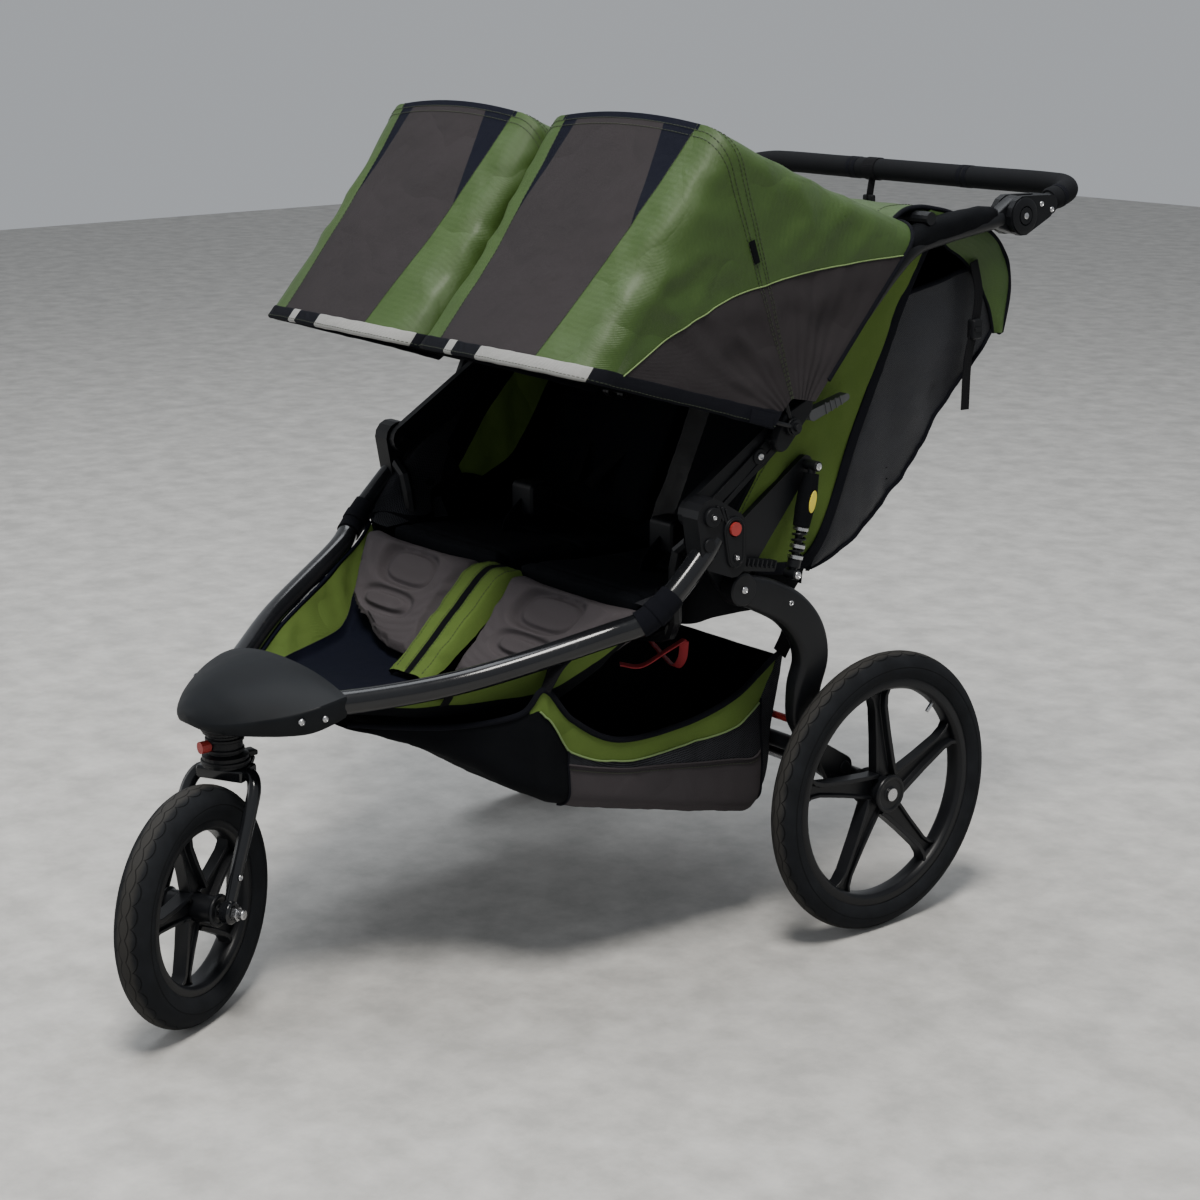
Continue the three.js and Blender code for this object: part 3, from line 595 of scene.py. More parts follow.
def dashes(line, pitch=5.0, length=3.2, radius=0.55, mark=0):
    """A row of stitches lying along a line of points."""
    line = np.array(line, float)
    run = lengths(line)
    made = Shape()
    for k in range(int(run[-1] / pitch)):
        ends = [[np.interp(k * pitch + s, run, line[:, c]) for c in range(3)] for s in (0.0, length)]
        if np.linalg.norm(np.subtract(*ends)) > 0.5:
            made = made + rod(*ends, radius, 5)
    return made.marked(mark)


def strap(points, width, thick, up=(0, 0, 1), steps=30):
    return sweep(smooth_line(points, steps), oblong(width / 2, thick / 2, thick * 0.45, 2), up)


def stud(at, radius, height, way=1, recess=True):
    """A domed rivet or screw head whose axis is X, with a socket in its middle."""
    x, y, z = at
    dome = [(radius, 0), (radius, height * 0.4), (radius * 0.85, height * 0.8), (radius * 0.6, height)]
    dome += [(radius * 0.42, height * 0.5), (0.01, height * 0.45)] if recess else [(0.01, height * 1.05)]
    shape = turned([(r, h * way) for r, h in dome], 20, closed=False)
    shape.points += (x, y, z)
    return shape if way > 0 else Shape(shape.points, [f[::-1] for f in shape.faces], shape.marks, shape.cloth)


def ripple(points, scale, seed=0.0):
    """A smooth random number from -1 to 1 for each point."""
    flat = np.array(points, float).reshape(-1, 3) * scale + seed
    values = [noise.noise(Vector(p)) for p in flat]
    return np.array(values).reshape(np.array(points).shape[:-1])


# ---- Pieces ----
def piece(name, shape, materials, body, replaces=(), bevel=0.0, sharp=38):
    """Makes one named piece of the visual model and rides it on its CAD body."""
    mesh = bpy.data.meshes.new(name)
    mesh.from_pydata((shape.points * MM).tolist(), [], shape.faces)
    materials = materials if isinstance(materials, (list, tuple)) else [materials]
    for material in materials:
        mesh.materials.append(material)
    mesh.polygons.foreach_set("material_index", [min(m, len(materials) - 1) for m in shape.marks])
    layer = mesh.uv_layers.new(name="cloth")
    corner = np.empty(len(mesh.loops), int)
    mesh.loops.foreach_get("vertex_index", corner)
    layer.data.foreach_set("uv", shape.cloth[corner].ravel())
    work = bmesh.new()
    work.from_mesh(mesh)
    bmesh.ops.remove_doubles(work, verts=work.verts, dist=2e-5)
    bmesh.ops.recalc_face_normals(work, faces=work.faces)
    work.to_mesh(mesh)
    work.free()
    finish_shading(mesh, sharp)
    made = bpy.data.objects.new(name, mesh)
    scene.collection.objects.link(made)
    if bevel:
        soften(made, bevel)
    if body:
        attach(made, body)
    if replaces:
        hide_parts(*([replaces] if isinstance(replaces, str) else replaces))
    return made


def finish_shading(mesh, sharp):
    mesh.polygons.foreach_set("use_smooth", [True] * len(mesh.polygons))
    mesh.set_sharp_from_angle(angle=math.radians(sharp))


def soften(made, width):
    cut = made.modifiers.new("Edges", "BEVEL")
    cut.width, cut.segments, cut.limit_method = width * MM, 2, "ANGLE"
    cut.angle_limit = math.radians(35)
    cut.harden_normals = False


def dress(node, material, bevel=0.8):
    """Gives a kept CAD node its finish, with softened edges."""
    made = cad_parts[node]
    made.data.materials.clear()
    made.data.materials.append(material)
    finish_shading(made.data, 35)
    if bevel:
        soften(made, bevel)


def applied(made):
    """Bakes a piece's modifiers into its mesh."""
    depsgraph = bpy.context.evaluated_depsgraph_get()
    mesh = bpy.data.meshes.new_from_object(made.evaluated_get(depsgraph))
    made.modifiers.clear()
    made.data = mesh
    return made


def puffed(shape, cap, voxel=5.0, pressure=4.0):
    """A closed shape made into a padded one: remeshed, then blown up a little as cloth."""
    mesh = bpy.data.meshes.new("pad")
    mesh.from_pydata((shape.points * MM).tolist(), [], shape.faces)
    made = bpy.data.objects.new("pad", mesh)
    scene.collection.objects.link(made)
    bpy.context.view_layer.update()
    made.modifiers.new("Voxels", "REMESH").voxel_size = voxel * MM
    applied(made)
    start = np.array([v.co for v in made.data.vertices]) / MM
    end = start
    cloth = made.modifiers.new("Cloth", "CLOTH")
    cloth.settings.quality = 5
    cloth.settings.use_pressure = True
    cloth.settings.uniform_pressure_force = pressure
    cloth.settings.effector_weights.gravity = 0.0
    cloth.point_cache.frame_start, cloth.point_cache.frame_end = 1, PUFF_FRAMES
    for step in range(1, PUFF_FRAMES + 1):
        scene.frame_set(step)
    depsgraph = bpy.context.evaluated_depsgraph_get()
    end = np.array([v.co for v in made.evaluated_get(depsgraph).data.vertices]) / MM
    made.modifiers.clear()
    scene.frame_set(1)
    move = end - start
    far = np.linalg.norm(move, axis=1, keepdims=True)
    points = start + move * np.minimum(1.0, cap / np.maximum(far, 1e-6))
    made.data.vertices.foreach_set("co", (points * MM).ravel())
    made.modifiers.new("Smooth", "SUBSURF").levels = 1
    applied(made)
    points = np.array([v.co for v in made.data.vertices]) / MM
    faces = [tuple(p.vertices) for p in made.data.polygons]
    bpy.data.objects.remove(made)
    return Shape(points, faces)


def tyre(radius, section, base):
    middle = radius - section
    start = math.acos((base - middle) / section)
    turns = np.linspace(-start, start, 25)
    profile = [(middle + section * math.cos(a), section * math.sin(a)) for a in turns]
    profile += [(base - 2, section * math.sin(start) * 0.8), (base - 2, -section * math.sin(start) * 0.8)]
    place = [section * a * MM for a in turns] + [section * 2 * MM, -section * 2 * MM]
    return turned(profile, 144, cloth=place)


def spoke(hub, reach, depth, turn):
    """One pinwheel spoke: a wide web with a rib on its trailing edge and a low rib on the other."""
    shares = (0, 0.12, 0.45, 0.8, 0.92, 1)
    halves = (19, 17, 13, 10.5, 13, 20)
    rings = []
    for share, half in zip(shares, halves):
        r = hub * 0.7 + share * (reach - hub * 0.7)
        mid = 7 - 2 * share
        flat = [(-half, -depth), (-half, depth * 0.75), (-half + 4, depth * 0.75), (-half + 5.5, depth * 0.25)]
        flat += [(half - 7.5, depth * 0.25), (half - 6, depth * 1.2), (half, depth * 1.2), (half, -depth)]
        rings.append([(x, mid + y, r) for y, x in flat])
    size = len(rings), len(rings[0])
    faces = [face[::-1] for face in end_faces(*size)] + turned_over(skin(*size))
    return Shape(rings, faces).moved(Matrix.Rotation(turn, 4, "X"))


def rim(radius, depth, half, hub, hub_x, phase, bore):
    """The ring, its five spokes, the valve and the hub with a raised face."""
    inner = radius - depth
    edge = [(inner, -half + 4), (inner + 3, -half + 0.8), (radius - 4, -half), (radius, -half + 1.5)]
    edge += [(radius, half - 1.5), (radius - 4, half), (inner + 3, half - 0.8), (inner, half - 4)]
    edge += [(inner - 1.5, half - 7), (inner - 1.5, -half + 7)]
    whole = turned(edge, 120)
    a, b = hub_x
    core = [(bore, a), (hub - 3, a), (hub - 1, a + 2), (hub * 0.8, a + 6), (hub * 0.8, b - 6)]
    core += [
        (hub - 1, b - 4), (hub, b - 2.5), (hub - 1.5, b), (hub - 5, b), (hub - 6.5, b - 1.6),
        (bore + 4.5, b - 1.6), (bore + 3.5, b), (bore, b)
    ]
    whole = whole + turned(core, 48)
    for k in range(5):
        whole = whole + spoke(hub, inner + 1, 9, phase + 2 * math.pi * k / 5)
    stem = phase + 0.63
    ends = [(0, r * math.sin(stem), r * math.cos(stem)) for r in (inner + 1, inner - 17)]
    return whole + rod(*ends, 3, 10, 1).marked(1)


def wheels():
    for side, sign in SIDES:
        place = Matrix.Translation((sign * REAR_WHEEL_X, *REAR_AXLE))
        rubber = tyre(REAR_RADIUS, REAR_SECTION, REAR_RIM).moved(place)
        body = f"{side}_rear_wheel"
        piece(f"{side}_rear_tyre_tread", rubber, REAR_TREAD, body, f"{side}_rear_tyre")
        disc = rim(REAR_RIM, 15, 15, 27, (-31, 22), 0.12, 6.5).flip(sign).moved(place)
        piece(f"{side}_rear_spokes", disc, [RIM, STEEL], body, f"{side}_rear_rim", 1.4)
    turn = Matrix.Translation((0, SWIVEL_Y, 0)) @ Matrix.Rotation(CASTER_TURN, 4, "Z")
    place = turn @ Matrix.Translation((0, -CASTER_LEAD, FRONT_RADIUS))
    rubber = tyre(FRONT_RADIUS, FRONT_SECTION, FRONT_RIM).moved(place)
    piece("front_tyre_tread", rubber, FRONT_TREAD, "front_wheel", "front_tyre")
    disc = rim(FRONT_RIM, 13, 18, 22, (-39, 39), 0.3, 5.5).moved(place)
    piece("front_spokes", disc, [RIM, STEEL], "front_wheel", "front_rim", 1.2)
    return turn


def fork(turn):
    axle = (-CASTER_LEAD, FRONT_RADIUS)
    shape = Shape()
    for sign in (1, -1):
        leg = [(22, 0, 308), (38, -1, 306), (47, -10, 294), (50, -28, 266), (50, -62, 205), (50, -86, 160)]
        leg = [(sign * x, y, z) for x, y, z in leg]
        shape = shape + tube(leg, 9, 20, 44, [1, 1, 1, 1, 0.95, 0.8])
        shape = shape + rod_x(sign * 44, sign * 59, axle, 15, 28, 2)
        shape = shape + stud((sign * 58.5, -70, 196), 4, 2.5, sign).marked(1)
    crown = plate(oblong(19.5, 8.5, 4) + (0.5, 308.5), -34, 34, 2)
    stem = rod((0, 0, 316), (0, 0, 358), 9)
    clamp = rod((-26, 16, 308), (26, 16, 308), 6, 16, 1)
    tab = plate(around([(22, 311, 4), (30, 319, 3)]), 8, 24, 1)
    shape = together(shape, crown, stem, clamp, tab).moved(turn)
    piece("front_fork_legs", shape, [PAINT, STEEL], "caster", "front_fork", 0.8)
    nut = sweep([(59.5, *axle), (66.5, *axle)], ring(9.6, 6), (0, 0, 1))
    end = rod_x(66, 75, axle, 6.5, 20, 1.2)
    bolt = together(nut, end, rod_x(-72, 68, axle, 4.6, 16), nut.flip(-1)).moved(turn)
    piece("front_axle_nuts", bolt, STEEL, "caster", "front_axle", 0.5)
    dress("quick_release_lever", LEVER, 1.5)


# ---- Front frame ----
FRAME_LINE = [
    (62, -494, 405), (108, -433, 406), (216, -302, 434), (312, -128, 487), (334, -98, 500), (345, -68, 524),
    (348, -9, 578), (347, 8, 596)
]


# Shares of the way from the back edge (0) to the tip (1): half-width, crest, side crease and underside.
NOSE_CAP = [
    (0, 139, 440, 421, 391), (0.12, 138, 440, 418, 385), (0.3, 130, 437, 411, 377),
    (0.5, 112, 431, 403, 375), (0.7, 86, 422, 396, 375), (0.84, 62, 412, 391, 375),
    (0.93, 42, 404, 389, 377), (0.98, 24, 397, 388, 380), (1, 6, 391, 387, 383),
]


def nose_cap():
    """A shoe-shaped cap: arched from side to side, with a soft crease along each side."""
    low, high = (np.array(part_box("nose_cap")[k]) / MM for k in (0, 1))
    back, tip = high[1] - 2, low[1] + 1
    rows = []
    for t, half, crest, crease, under in interpolated(NOSE_CAP, 56):
        y = back + (tip - back) * t
        over = np.linspace(0, math.pi, 41)
        top = [(half * math.cos(a), crease + (crest - crease) * (1 - abs(math.cos(a)) ** 2.3)) for a in over]
        bend = min(7.0, half / 3, (crease - under) / 2.4)
        wall = [
            (half + 1.2, crease - 2.5), (half + 1.6, crease - 5), (half, under + bend),
            (half - bend * 0.3, under + bend * 0.3), (half - bend, under)
        ]
        left = [(-x, z) for x, z in wall]
        floor = [(x, under) for x in np.linspace(-half + bend, half - bend, 15)[1:-1]]
        rows.append([(x, y, z) for x, z in top + left + floor + wall[::-1]])
    shape = loop_grid(np.array(rows))
    for sign in (1, -1):
        for y, x in ((-476, 131), (-446, 138)):
            screw = stud((0, 0, 0), 4.5, 3)
            place = Matrix.Translation((sign * (x - 2), y, 397)) @ Matrix.Rotation(
                0 if sign > 0 else math.pi, 4, "Z"
            )
            shape = shape + screw.moved(place).marked(1)
    piece("nose_cap_shell", shape, [NOSE, STEEL], "frame", "nose_cap")


def front_frame():
    for side, sign in SIDES:
        line = tube(FRAME_LINE, 15.5, 28, 90).flip(sign)
        piece(f"{side}_frame_tube_paint", line, PAINT, "frame", f"{side}_frame_tube")
        # The sleeve that ties the seat's front edge to the tube.
        sleeve = smooth_line(FRAME_LINE, 90)[69:78]
        wrap = tube(sleeve, 17.6, 28, 8, smooth=False) + tube(sleeve[3:6], 19, 28, 4)
        piece(f"{side}_tube_sleeve", wrap.flip(sign), BINDING, "frame")
    nose_cap()
    dress("swivel_housing", SATIN)
    dress("swivel_lock_knob", RED, 1.2)
    collar = together(
        *[
            rod((0, SWIVEL_Y, z), (0, SWIVEL_Y, z + 5), r, 40, 1)
            for z, r in ((321, 32), (336, 25), (350, 25), (364, 30))
        ],
        plate(oblong(9, 3.5, 2) + (SWIVEL_Y + 34, 326), -9, 9, 1),
    )
    piece("swivel_collars", collar, SATIN, "frame")
    dress("seat_crossbar", SATIN, 0)
    for side, sign in SIDES:
        dress(f"{side}_hinge_plate", PLASTIC, 1.5)
        dress(f"{side}_hinge_button", RED, 1.8)
        cover = around([(31, 606, 17.5), (34, 570, 14)])
        face = holed(cover, (31, 608), 10.5, 360.5, 364.5)
        rimmed = sweep(
            [(364.5, y, z) for y, z in smooth_ring(around([(31, 606, 14.5), (34, 570, 11)]))], ring(0.9, 8),
            (1, 0, 0), closed=True
        )
        boss = rod_x(360, 366, (-6, 628), 13, 32, 1.2) + rod_x(360, 367, (-6, 628), 6, 20, 1)
        ears = rod_x(360, 364, (-10, 592), 9, 24, 1) + rod_x(364, 366, (34, 570), 6, 20, 0.6)
        ribs = teeth(3, [(3, 640, 2), (12, 622, 2)], [(7, -3, 0), (6, -4, 0)], 361, 363.5, 0.6)
        shape = together(
            face, rimmed, boss, ears, ribs, stud((366, 34, 570), 3.2, 1.6).marked(1),
            stud((367, -6, 628), 3, 1.5).marked(1)
        )
        piece(f"{side}_hinge_cover", shape.flip(sign), [PLASTIC, STEEL], "frame", (), 0.4)


def holed(outline, centre, radius, x0, x1):
    """A flat plate with a round hole."""
    outer = np.array(smooth_ring(outline, 60))
    turn = np.arctan2(*(outer - centre).T[::-1])
    inner = centre + radius * np.column_stack([np.cos(turn), np.sin(turn)])
    loops = [(x0, outer), (x1 - 1, outer), (x1, outer + unit(inner - outer)), (x1, inner), (x0, inner)]
    grid = np.array([np.column_stack([np.full(60, x), at]) for x, at in loops])
    return loop_grid(grid, caps=False)


def smooth_ring(outline, steps=80):
    """The outline as evenly spaced points, without its repeated end."""
    flat = np.array(outline + outline[:1], float)
    run = lengths(flat)
    want = np.linspace(0, run[-1], steps, endpoint=False)
    return [(np.interp(w, run, flat[:, 0]), np.interp(w, run, flat[:, 1])) for w in want]


# ---- Upper frame, handlebar and rear chassis ----
UPPER_LINE = [
    (335, 118, 700), (335, 175, 755), (335, 340, 914), (335, 376, 937), (334, 425, 947), (330, 545, 962)
]


def upper_frame():
    for side, sign in SIDES:
        core = plate(around([(*HANDLE_PIVOT, 26.5), (538, 961, 10)]), 320.5, 339.5, 1.5)
        line = tube(UPPER_LINE, 13, 24, 70) + core + rod_x(340, 366, CANOPY_PIVOT, 5)
        piece(
            f"{side}_upper_tube_paint", line.flip(sign), SATIN, "upper_frame",
            f"{side}_upper_tube", 0.5
        )
        dress(f"{side}_upper_link", PLASTIC, 1.5)
        spine = plate(around([(18, 634, 7), (100, 688, 10), (150, 724, 8)]), 330, 333.5, 1.2)
        lip = plate(around([(26, 622, 3), (100, 676, 4.5), (168, 728, 3)]), 330, 334.5, 1.2)
        eye = rod_x(330, 336, (100, 688), 11, 28, 1)
        mount = plate(around([(124, 706, 13), (139, 729, 17), (168, 748, 10)]), 339, 352, 2)
        knuckle = rod_x(352, 358, CANOPY_PIVOT, 12, 30, 1.2)
        shape = together(spine, lip, eye, mount, knuckle)
        shape = shape + stud((336, 100, 688), 5, 2.4).marked(1) + stud((358, *CANOPY_PIVOT), 4, 2).marked(1)
        piece(
            f"{side}_link_cover", shape.flip(sign), [PLASTIC, STEEL], "upper_frame", (), 0.4
        )
        dress(f"{side}_fold_release_lever", LEVER, 2.5)
        ribs = teeth(4, [(206, 747, 1.2), (210, 733, 1.2)], [(9, 2, 0), (9, 3, 0)], 343.5, 345, 0.3)
        piece(f"{side}_lever_ribs", ribs.flip(sign), LEVER, f"{side}_release_lever")
    dress("canopy_cross_brace", SATIN, 0)


def bar_line(start):
    half = [
        (330, start, HANDLE_PIVOT[1] + (start - HANDLE_PIVOT[0]) * 0.222), (330, 668, 985.2), (323, 694, 991),
        (302, 712, 995), (270, 717, 996), (150, 717, 996)
    ]
    return half + [(-x, y, z) for x, y, z in half[::-1]]


def handlebar():
    piece(
        "handlebar_core", tube(bar_line(612.5), 11, 20, 90), SATIN, "handlebar",
        "handlebar_tube"
    )
    line = smooth_line(bar_line(649), 200)
    sizes = 1 + 0.006 * ripple(line, 0.03)
    sizes[[0, -1]] = 0.86
    foam = sweep(line, ring(16.4, 28), sizes=sizes)
    middle = len(line) // 2
    for k in (5, middle - 32, middle - 29, middle + 29, middle + 32, 195):
        band = smooth_line(line[k - 1 : k + 2], 4)
        foam = foam + tube(band, 16.9, 28, smooth=False).marked(1)
    piece("handlebar_foam", foam, [FOAM, BINDING], "handlebar", "handlebar_grip")
    for side, sign in SIDES:
        dress(f"{side}_handlebar_joint", PLASTIC, 2)
        dress(f"{side}_handlebar_button", PLASTIC, 1.5)
        hub = turned([(25, 349), (25, 351), (22, 352.5), (13.5, 352.5), (13, 350)], 48, closed=False)
        hub.points += (0, *HANDLE_PIVOT)
        heads = stud((349, 612, 979), 4, 2).marked(1) + stud((349, 634, 970), 4, 2).marked(1)
        piece(
            f"{side}_tilt_hub", together(hub, heads).flip(sign), [PLASTIC, STEEL], "handlebar",
        )
        dot = stud((353, *HANDLE_PIVOT), 4.5, 1.6, recess=False)
        piece(f"{side}_button_dot", dot.flip(sign), STEEL, f"{side}_handlebar_button")
    # A safety strap hangs from a loop round the bar, left of its middle.
    loop = sweep([(-88, 717, 996), (-64, 717, 996)], ring(17.6, 28), (0, 0, 1))
    hang = strap([(-76, 712, 982), (-76, 706, 950), (-76, 700, 915)], 14, 2, (1, 0, 0), 14)
    clip = plate(oblong(4, 9, 2) + (706, 948), -86, -66, 1)
    piece("wrist_strap", together(loop, hang, clip.marked(1)), [WEBBING, PLASTIC], "handlebar")


ARM_LINE = [
    (340, 60, 520), (340, 105, 503), (341, 150, 477), (341, 181, 440), (339, 192, 402), (333, 187, 362),
    (326, 193, 310), (321, 232, 247), (320, 300, 197.7)
]


def rear_chassis():
    arms = Shape()
    for side, sign in SIDES:
        dress(f"{side}_chassis_bracket", SATIN, 1)
        line = smooth_line(ARM_LINE, 80)
        sizes = np.interp(
            np.linspace(0, 1, 81), [0, 0.1, 0.3, 0.5, 0.62, 0.66, 0.7, 1],
            [0.88, 1.08, 1.17, 1.15, 1.02, 0.82, 0.8, 0.78]
        )
        blade = sweep(line, oblong(12, 22, 7, 5), (0, -1, 0), sizes=sizes)
        ends = rod_x(328, 352, (60, 520), 22, 36, 2) + rod_x(308, 332, REAR_AXLE, 20, 36, 2)
        band = sweep(line[50:52], oblong(11.2, 20.5, 6, 5), (0, -1, 0)).marked(1)
        bolts = stud((352, 60, 520), 5, 2.5).marked(2) + stud((353, 142, 489), 4, 2.5).marked(2)
        arms = arms + together(blade, ends, band, bolts).flip(sign)
        rack = teeth(9, [(58, 552, 1.5), (60.5, 560, 1.2)], [(8, -1.7, 0), (8, -1.7, 0)], 327, 343, 0.4)
        rail = plate(around([(52, 549, 4), (122, 536, 3.5)]), 326.5, 341, 1)
        piece(
            f"{side}_chassis_rack", together(rack, rail).flip(sign), [SATIN], "rear_chassis",
        )
        shock(side, sign)
    tie = rod_x(-322, 322, (200, 268), 11, 24) + rod_x(-322, 322, (233, 236), 6, 20)
    brake = Shape()
    for sign in (1, -1):
        drum = together(
            plate(around([(262, 232, 16), (222, 262, 12), (250, 200, 8)]), 329, 339, 1.5),
            rod_x(329, 341, (262, 232), 9, 24, 1),
            teeth(4, [(232, 212, 2.6), (236, 226, 2)], [(7, -3, 0), (7, -3, 0)], 329, 340, 0.5),
        )
        brake = brake + drum.flip(sign)
    materials = [SATIN, REFLECTIVE, STEEL]
    piece(
        "suspension_arms", together(arms, tie, brake), materials, "suspension_arm",
        "swing_arm", 0.6
    )
    dress("rear_axle", STEEL, 0.6)
    dress("parking_brake_pedal", RED, 1)


def shock(side, sign):
    """A coil-over damper: eyes, bright collars, a spring and a padded sleeve with a blank label."""
    foot, top = np.array(SHOCK_FOOT, float), np.array(SHOCK_TOP, float)
    way = unit(top - foot)

    def at(share):
        return foot + (top - foot) * share

    body = rod(at(0.02), at(0.98), 5.5, 20)
    sleeve = tube([at(0.44), at(0.6), at(0.78), at(0.93)], 13, 28, 20, [0.86, 1, 1, 0.8]).marked(1)
    collars = together(*[rod(at(s), at(s + 0.035), 10.5, 28, 0.6) for s in (0.14, 0.24, 0.4)]).marked(2)
    cap = rod(at(0.06), at(0.16), 9, 24, 1)
    turns = np.linspace(0, 2 * math.pi * 5, 150)
    normal = np.cross(way, (1, 0, 0))
    coil = [
        at(0.17 + 0.26 * a / turns[-1]) + 8.6 * (np.array((1, 0, 0)) * math.cos(a) + normal * math.sin(a))
        for a in turns
    ]
    spring = sweep(coil, ring(1.5, 8), way)
    eyes = rod_x(329, 351, SHOCK_FOOT[1:], 7, 24, 1) + rod_x(329, 351, SHOCK_TOP[1:], 7, 24, 1)
    heads = stud((351, *SHOCK_FOOT[1:]), 5.5, 3).marked(2) + stud((351, *SHOCK_TOP[1:]), 5, 2).marked(2)
    mid, turn = at(0.68), math.atan2(way[2], way[1]) - math.pi / 2
    label = []
    for u, v in np.array(ring(1, 32)):
        y, z = 5.5 * u, 15 * v
        label.append(
            (y * math.cos(turn) - z * math.sin(turn) + mid[1], y * math.sin(turn) + z * math.cos(turn) + mid[2])
        )
    tag = plate(label, 351.5, 353.6, 0.4).marked(3)
    shape = together(body, sleeve, collars, cap, spring, eyes, heads, tag).flip(sign)
    made = piece(
        f"{side}_shock", shape, [SATIN, BLACK_CLOTH, STEEL, YELLOW], "rear_chassis",
        f"{side}_shock_absorber"
    )
    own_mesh(made)


# ---- Canopies ----
CANOPY_X = (366.0, 5.7)
CORNER, CROWN, LEG_START = 46.0, 10.0, 42.0
REAR_LINE, RIDGE_LINE, VISOR_LINE = (48.0, 330.0), (108.6, 408.0), (163.3, 372.0)
# The panels' edges from the rear line (-1) over the ridge (0) to the visor (1): green shares of the top at its
# +X and -X ends, the navy bands beside them, and the reach on the legs where the green gives way to gray.
PATTERN = (
    (-1.0, 0.0, 0.42, 1.0),
    (0.03, 0.02, 0.09, 0.19),
    (0.03, 0.02, 0.04, 0.07),
    (0.16, 0.22, 0.002, 0.002),
    (0.10, 0.11, 0.002, 0.002),
    (278.0, 198.0, 249.0, 320.0),
)
GREEN_MARK, GRAY_MARK, NAVY_MARK, LINING_MARK, PIPING_MARK, THREAD_MARK = range(6)
CANOPY_FINISH = [GREEN_CLOTH, TOP_GRAY, NAVY_CLOTH, BLACK_CLOTH, PIPING, THREAD]


def arch(line, boundary, outer_green, inner_green, outer_navy, inner_navy):
    """Points across a canopy at one line, from the outer leg's foot over the top to the inner leg's foot."""
    angle, reach = math.radians(line[0]), line[1]
    outer, inner = CANOPY_X
    leg = reach - CORNER
    flat = outer - inner - 2 * CORNER
    foot = [(outer, s) for s in np.linspace(LEG_START, min(boundary, leg - 4), 15)]
    foot += [(outer, s) for s in np.linspace(min(boundary, leg - 4), leg, 11)[1:]]
    foot += [
        (outer - CORNER * (1 - math.cos(a)), leg + CORNER * math.sin(a))
        for a in np.linspace(0, math.pi / 2, 8)[1:]
    ]

    def top(green, navy):
        cuts = (
            *np.linspace(0, green, 5)[1:], *np.linspace(green, green + navy, 5)[1:],
            *np.linspace(green + navy, 0.5, 9)[1:]
        )
        return [(outer - CORNER - t * flat, reach + CROWN * (1 - (2 * t - 1) ** 2)) for t in cuts]

    other = foot + top(inner_green, inner_navy)[:-1]
    whole = foot + top(outer_green, outer_navy) + [(outer + inner - x, s) for x, s in other[::-1]]
    return np.array(
        [(x, CANOPY_PIVOT[0] + s * math.cos(angle), CANOPY_PIVOT[1] + s * math.sin(angle)) for x, s in whole]
    )


# The columns of a canopy's cloth counted from its foot: to the end of the gray, to the end of the green on the
# leg, then the green and the navy on the top.
GRAY_COLS, GREEN_COLS, TOP_GREEN, TOP_NAVY = 14, 31, 4, 4


def canopy_marks(rows, ridge):
    """Panel colours by row and column, with a navy band along the ridge."""
    half = [GRAY_MARK] * GRAY_COLS + [GREEN_MARK] * (
        GREEN_COLS - GRAY_COLS + TOP_GREEN
    ) + [NAVY_MARK] * TOP_NAVY + [GRAY_MARK] * 8
    marks = [half + half[::-1] for _ in range(rows - 1)]
    for row in ridge:
        marks[row] = [
            NAVY_MARK if GREEN_COLS < j < len(half) * 2 - GREEN_COLS else mark
            for j, mark in enumerate(marks[row])
        ]
    return marks


def canopy_grid(sign, part, rows, sag, seed):
    """The cloth between two arches, drawn in a little between them, with tension folds from its corners."""
    ends = (REAR_LINE, RIDGE_LINE) if part == "rear" else (RIDGE_LINE, VISOR_LINE)
    grid = []
    for share in np.linspace(0, 1, rows):
        place = share - 1 if part == "rear" else share
        near, far, near_navy, far_navy, boundary = (
            np.interp(place, PATTERN[0], column) for column in PATTERN[1:]
        )
        pattern = (near, far, near_navy, far_navy) if sign > 0 else (far, near, far_navy, near_navy)
        first, last = (arch(line, boundary, *pattern) for line in ends)
        grid.append(first * (1 - share) + last * share)
    grid = np.array(grid)
    shares = np.linspace(0, 1, rows)[:, None]
    out = outward(grid)
    span = np.sin(np.pi * shares)
    cols = grid.shape[1]
    across = np.abs(np.linspace(-1, 1, cols))[None]
    leg = np.clip((across - 0.45) / 0.2, 0, 1)
    to_pivot = grid[..., 1:] - CANOPY_PIVOT
    angle = np.degrees(np.arctan2(to_pivot[..., 1], to_pivot[..., 0]))
    reach = np.linalg.norm(to_pivot, axis=2)
    folds = np.sin(angle * 0.75 + 3 * ripple(grid, 0.006, seed)) * np.clip(1.2 - reach / 330, 0, 1) * leg
    wide = ripple(grid, 0.009, seed + 5)
    skew = ripple(grid * (1, 0.5, 1.8), 0.021, seed + 9)
    crumple = 0.5 - np.abs(ripple(grid * (1.1, 0.8, 1), 0.017, seed + 17)) * 1.6
    fine = ripple(grid * (0.6, 1, 1), 0.05, seed + 13)
    side = np.clip((across - 0.28) / 0.2, 0, 1)
    bulk = 0.7 * folds + 2.6 * wide + 1.9 * skew * (0.3 + leg) + 0.7 * fine + 8.0 * crumple * side
    move = -sag * span * (1 - 0.35 * leg) + span * bulk
    return grid + out * move[..., None]


